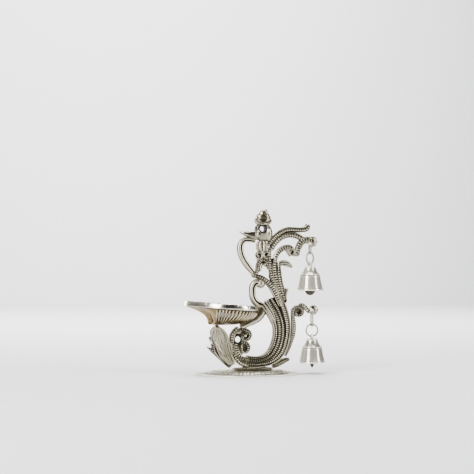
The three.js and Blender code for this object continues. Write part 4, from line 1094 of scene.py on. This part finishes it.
class LAMP_OT_bowl(bpy.types.Operator):
    """Models the fluted bowl with its rim and spout"""

    bl_idname = "lamp.bowl"
    bl_label = "Bowl"

    def execute(self, context):
        # Reach of its back and spout and place of its broadest part, in mm from its middle
        back, spout, broadest = 40.0, 33.3, 8.0
        half = sizes().bowl_width / MM / 2
        height, rim, lip, wall = 16.5, 5.2, 0.9, 1.6
        flutes, to_flute = sizes().bowl_flutes, 8
        # Share of each side where the spout starts, how full its throat is, and how its sides draw in
        start, throat, power = 0.66, 0.3, 1.2
        fluted = np.linspace(0, start, flutes * to_flute, endpoint=False)
        shares = np.concatenate([fluted, start + (1 - start) * np.linspace(0, 1, 40)])
        phase = shares / start * flutes
        in_flutes = np.clip((start - shares) / 0.02, 0, 1)

        def outline(side):
            """Rim of one side, from the back to the tip of the spout."""
            turn = shares * math.pi
            run = np.clip(2 * shares - 1, 0, 1)
            narrow = np.maximum(np.cos(run * math.pi / 2), 0) ** power
            rear, front = broadest + (back - broadest) * np.cos(turn), broadest - (spout + broadest) * run
            x = np.where(shares <= 0.5, rear, front)
            y = side * np.where(shares <= 0.5, half * np.sin(turn), half * narrow)
            return np.stack([x, y], 1)

        def ring(level, z, inset, flute):
            """One row of points round the bowl. Level is its share of the wall's height, which sets its reach."""
            share = np.clip((shares - (start - 0.04)) / (0.86 - start + 0.04), 0, 1)
            share = share * share * (3 - 2 * share)
            round_reach = math.sqrt(max(1 - (1 - level) ** 2, 0))
            reach = round_reach + (throat + (1 - throat) * level**3 - round_reach) * share
            valley = flute * in_flutes * (0.5 - 0.5 * np.cos(math.tau * phase)) ** 0.7
            sides = []
            for side in (1, -1):
                rim_points = outline(side)
                length = np.maximum(np.linalg.norm(rim_points, axis=1), 1e-6)
                out = np.maximum(reach * length - inset - valley, 0.4)
                flat = rim_points / length[:, None] * out[:, None]
                sides.append(np.column_stack([flat, np.full(len(flat), z)]))
            return np.concatenate([sides[0], sides[1][1:-1][::-1]])

        top = height + rim
        rows = []
        outside_rows, flute_depth, notch_depth = 22, 1.7, 0.5
        for level in np.linspace(0.02, 1, outside_rows) ** 1.4:
            rows.append(ring(level, level * height, 0, flute_depth * math.sin(math.pi * level**1.5) + 0.06))
        around = np.concatenate([shares, -shares[1:-1][::-1]])
        notches = np.zeros(len(around))
        for place in RIM_NOTCHES:
            for at in (place, -place):
                notches += groove(around, at, 0.012)
        rim_rows = [
            (height, -0.2), (height + 0.15, -lip), (height + 0.8, -lip - 0.1), (top - 0.9, -lip + 0.2),
            (top - 0.3, -lip + 0.5), (top, -lip + 0.9), (top, 0.2), (top - 0.1, 0.7), (top - 0.5, wall * 0.7),
        ]
        for z, inset in rim_rows:
            row = ring(1, z, inset, 0)
            row[:, 2] -= notch_depth * notches * (z > height + 1)
            rows.append(row)
        for level in (1, 0.9, 0.75, 0.6, 0.45, 0.3, 0.18, 0.1, 0.04):
            rows.append(ring(level, wall + (height - wall) * level, wall * level, 0))
        count = len(rows[0])
        bowl = hoop("oil_bowl", count)
        edit(bowl, "SELECT")
        for _ in rows[1:]:
            pull_edges(0, 0, 1)
        done()
        points = points_of(bowl)
        turn = np.arctan2(points[:, 1], points[:, 0])
        turn = np.round((turn - turn[0]) * count / math.tau).astype(int) % count
        level = np.round(points[:, 2]).astype(int)
        place_points(bowl, np.array(rows)[level, turn] * MM)
        valleys = in_flutes * (0.5 - 0.5 * np.cos(math.tau * phase))
        valleys = np.concatenate([valleys, valleys[1:-1][::-1]])
        deepest = 0.36
        mark_low(bowl, 1 - deepest * valleys[turn] * (level < outside_rows))
        close_ends(bowl, 0.001 * MM)
        middle, knob_height, tilt = -30.5, 45.4, 4.3
        placed(bowl, (middle, 0, knob_height + sizes().foot_height / MM), (0, tilt, 0))
        finished(bowl, metal("bowl_silver"), "stand", ["diya_bowl"])
        bowl.data.materials.append(metal("bowl_inside_silver"))
        above = Vector((middle, 0, 80)) * MM
        for face in bowl.data.polygons:
            face.material_index = int(face.normal.dot(above - face.center) > 0)
        return {"FINISHED"}


# Profiles of lathe work: (radius, height) in mm from the joint
BELL_PROFILE = [
    (0, -2.5), (3, -2.5), (4.7, -2.6), (5.5, -3.1), (5.8, -4), (6.05, -5.2), (6.6, -6.6), (7.4, -8),
    (8.3, -9.1), (9.2, -9.9), (10, -10.35), (10.3, -10.7), (10.3, -11.1), (10, -11.35), (9.7, -11.5),
    (9.72, -11.8), (10.15, -12), (10.3, -12.4), (10.5, -14), (10.9, -16.4), (11.4, -19), (12, -21.6),
    (12.6, -23.8), (12.75, -24.4), (12.65, -24.7), (12.9, -24.9), (13.35, -25.1), (13.5, -25.5),
    (13.5, -26.4), (13.3, -26.7), (12.5, -26.7), (12.2, -26.3), (11.7, -24), (10.7, -20), (9.7, -15.5),
    (9, -12.4), (8, -10.9), (6.6, -9), (5, -7), (4, -6.1), (2.6, -5.9), (0, -5.9),
]
BELL_LEDGES = ((-11.6, 0.5), (-24.7, 0.45), (-9.4, 0.5))  # height of each, and how far oxide spreads from it
STEM_PROFILE = [(0, -25), (1.25, -24.8), (1.1, -22), (0.9, -16), (0.8, -11.4), (0.5, -10.9), (0, -10.8)]


class LAMP_OT_bells(bpy.types.Operator):
    """Models the links, rings, bells and clappers of both chains"""

    bl_idname = "lamp.bells"
    bl_label = "Bells"

    def execute(self, context):
        bell = turned("bell_shell", BELL_PROFILE)
        stem = turned("clapper_stem", STEM_PROFILE, 20)
        for prefix, link_height, ring_turn, clapper_turn in (("upper", 9.4, 42, 0), ("lower", 15, 0, 90)):
            self.link(prefix, link_height)
            self.ring(prefix, ring_turn)
            self.bell(prefix, bell, ring_turn)
            self.clapper(prefix, stem, clapper_turn)
        bpy.data.objects.remove(bell)
        bpy.data.objects.remove(stem)
        return {"FINISHED"}

    def hang(self, piece, prefix, kind, turn, joint=None):
        """Turns a piece about the chain, moves it to its joint and finishes it."""
        name = prefix + "_" + kind
        placed(piece, JOINT_PLACES[f"{prefix}_{joint or kind}_swing"] / MM, (0, 0, turn))
        finished(piece, metal("bell_silver" if kind == "bell" else "chain_silver"), name, [name], 40)

    def link(self, prefix, height):
        """Long link of round wire that hangs from the bracket's eyelet."""
        wire, half, steps = sizes().wire, 3.6, 8
        straight = max(height - 2 * half, 0)
        bend = (height - straight) / 2
        route = []
        for up in (1, -1):
            for i in range(steps):
                turn = math.pi * (i + 0.5) / steps
                across = half * math.copysign(abs(math.cos(turn)) ** 0.8, math.cos(turn))
                rise = bend * math.sin(turn) ** 0.8
                y = rise - bend if up > 0 else -rise - bend - straight
                route.append((up * across, y, 2 * wire / MM))
        link = strand(route, 2 * wire / MM, "wire", closed=True, deepest=1)
        link.name = link.data.name = prefix + "_link_wire"
        self.hang(placed(link, turn=(90, 0, 90)), prefix, "link", 0)

    def ring(self, prefix, turn):
        """Round ring between link and bell."""
        ring = ring_of_wire(sizes().ring_radius / MM, sizes().wire / MM)
        ring.name = ring.data.name = prefix + "_ring_wire"
        self.hang(stand_up(ring, -sizes().ring_radius), prefix, "ring", turn)

    def bell(self, prefix, shell, turn):
        """Bell with the lug on its crown."""
        bell = new_piece(prefix + "_bell_shell", shell.data)
        height = points_of(bell)[:, 2] / MM
        ledges = [np.abs(height - z) / reach for z, reach in BELL_LEDGES]
        mark_low(bell, np.clip(0.6 + 0.4 * np.min(ledges, axis=0), 0, 1))
        lug = placed(ring_of_wire(2.25, 0.62, 12, 40), (0, 0, -0.3), (0, 90, 0), (1, 1, 1.7))
        bell = joined(prefix + "_bell_casting", [bell, lug])
        self.hang(bell, prefix, "bell", turn)

    def clapper(self, prefix, stem, turn):
        """Clapper: an eye, a stem and a flat drop."""
        drop = stand_up(lump(0, -25.8, 5.6, 5.6, 3.6), 0)
        mark_low(drop, 0.7 + 0.3 * (points_of(drop)[:, 2] > -25 * MM))
        eye = stand_up(placed(ring_of_wire(1.7, 0.55, 12, 28), (0, -9.2, 0)), 0)
        clapper = joined(prefix + "_clapper_casting", [new_piece("rod", stem.data), drop, eye])
        self.hang(clapper, prefix, "clapper", turn, "bell")


class LAMP_OT_small_parts(bpy.types.Operator):
    """Gives the screws and staples their finish"""

    bl_idname = "lamp.small_parts"
    bl_label = "Screws and staples"

    def execute(self, context):
        for name in ("foot_screw_1", "foot_screw_2", "upper_staple", "lower_staple"):
            piece = frame["nodes"][name]
            piece.data.materials.clear()
            piece.data.materials.append(metal("screw_steel"))
        return {"FINISHED"}


class LAMP_OT_stage(bpy.types.Operator):
    """Sets the floor, the lights and the camera"""

    bl_idname = "lamp.stage"
    bl_label = "Stage"

    def execute(self, context):
        self.floor()
        self.lights()
        self.camera()
        return {"FINISHED"}

    def floor(self):
        """Plain floor that curves up behind the lamp stand."""
        side, wall, bend = 6, 3, 1.2
        at_back, on_floor = side / 2 - 0.1, 0.01
        bpy.ops.mesh.primitive_plane_add(size=side)
        floor = named("studio_floor")
        edit(floor)
        pick(floor, "edges", lambda edge: all(corner.co.y > at_back for corner in edge.verts))
        pull_edges(0, 0, wall)
        bpy.ops.mesh.select_all(action="DESELECT")
        pick(floor, "edges", lambda edge: all(c.co.y > at_back and c.co.z < on_floor for c in edge.verts))
        bpy.ops.mesh.bevel(offset=bend, segments=16)
        done()
        smooth_faces(floor, 60)
        material = bpy.data.materials.new("floor_paper")
        material.use_nodes = True
        tree = material.node_tree
        shader = tree.nodes["Principled BSDF"].inputs
        feed(shader["Roughness"], 0.8)
        paper = colours().floor
        feed(shader["Base Color"], blended(tree, noise(tree, 3.0), rgba(paper), rgba([0.97 * c for c in paper])))
        floor.data.materials.append(material)

    def lights(self):
        """Dim room that is brightest overhead and to both sides, and four soft lamps."""
        world = bpy.data.worlds.new("soft_room")
        world.use_nodes = True
        tree = world.node_tree
        way = node(tree, "ShaderNodeTexCoord").outputs["Generated"]
        apart = node(tree, "ShaderNodeSeparateXYZ", {"Vector": way}).outputs
        overhead = between(tree, apart["Z"], -0.1, 0.9, 0.04, 0.42)
        sideways = between(tree, maths(tree, "ABSOLUTE", apart["X"], 0.0), 0.2, 0.65, 0.06, 1.0)
        feed(tree.nodes["Background"].inputs["Color"], maths(tree, "MULTIPLY", overhead, sideways))
        bpy.context.scene.world = world
        # Each lamp's place, what it points at and its size, in metres, and its power in watts
        for name, place, target, size, power in (
            ("window_left", (-0.9, -0.8, 0.6), (0, 0, 0.09), (0.5, 1.3), 22),
            ("window_right", (0.9, -0.6, 0.5), (0, 0, 0.09), (0.25, 1.0), 9),
            ("ceiling", (0.0, 0.2, 1.5), (0, 0.3, 0), (0.9, 0.9), 24),
            ("backdrop_wash", (0.0, 1.2, 1.9), (0, 2.9, 0.8), (2.0, 2.0), 110),
        ):
            bpy.ops.object.light_add(type="AREA", location=place)
            light = named(name)
            light.data.shape = "RECTANGLE"
            light.data.size, light.data.size_y = size
            light.data.energy = power
            light.rotation_euler = (Vector(target) - Vector(place)).to_track_quat("-Z", "Y").to_euler()
        bpy.context.scene.view_settings.look = "AgX - Medium High Contrast"

    def camera(self):
        """Camera where the photographer stood."""
        sensor, focal_pixels, photo_pixels = 36, 1131, 474
        bpy.ops.object.camera_add(
            location=(-0.2067, -1.1120, 0.095),
            rotation=(math.radians(92.13), 0, math.radians(-10)),
        )
        camera = named("photo_camera")
        camera.data.sensor_width = sensor
        camera.data.lens = sensor * focal_pixels / photo_pixels
        bpy.context.scene.camera = camera


class LAMP_PT_panel(bpy.types.Panel):
    """Lists the pieces of the lamp stand"""

    bl_label = "Lamp stand"
    bl_idname = "LAMP_PT_panel"
    bl_space_type = "VIEW_3D"
    bl_region_type = "UI"
    bl_category = "Lamp stand"

    def draw(self, context):
        for group in (context.scene.lamp_sizes, context.scene.lamp_colours):
            box = self.layout.box()
            for name in group.__annotations__:
                box.prop(group, name)
        for operator in OPERATORS:
            self.layout.operator(operator.bl_idname)


OPERATORS = (
    LAMP_OT_stage, LAMP_OT_foot, LAMP_OT_tail, LAMP_OT_front_scroll, LAMP_OT_leaf_cup, LAMP_OT_neck,
    LAMP_OT_curls, LAMP_OT_brackets, LAMP_OT_head, LAMP_OT_bowl, LAMP_OT_bells, LAMP_OT_small_parts,
)
CLASSES = (LampSizes, LampColours, *OPERATORS, LAMP_PT_panel)


def register():
    for one in CLASSES:
        bpy.utils.register_class(one)
    bpy.types.Scene.lamp_sizes = PointerProperty(type=LampSizes)
    bpy.types.Scene.lamp_colours = PointerProperty(type=LampColours)


def unregister():
    del bpy.types.Scene.lamp_colours
    del bpy.types.Scene.lamp_sizes
    for one in reversed(CLASSES):
        bpy.utils.unregister_class(one)


def main():
    register()
    for operator in OPERATORS:
        group, name = operator.bl_idname.split(".")
        getattr(getattr(bpy.ops, group), name)()
    bpy.context.view_layer.update()


if __name__ == "__main__":
    main()
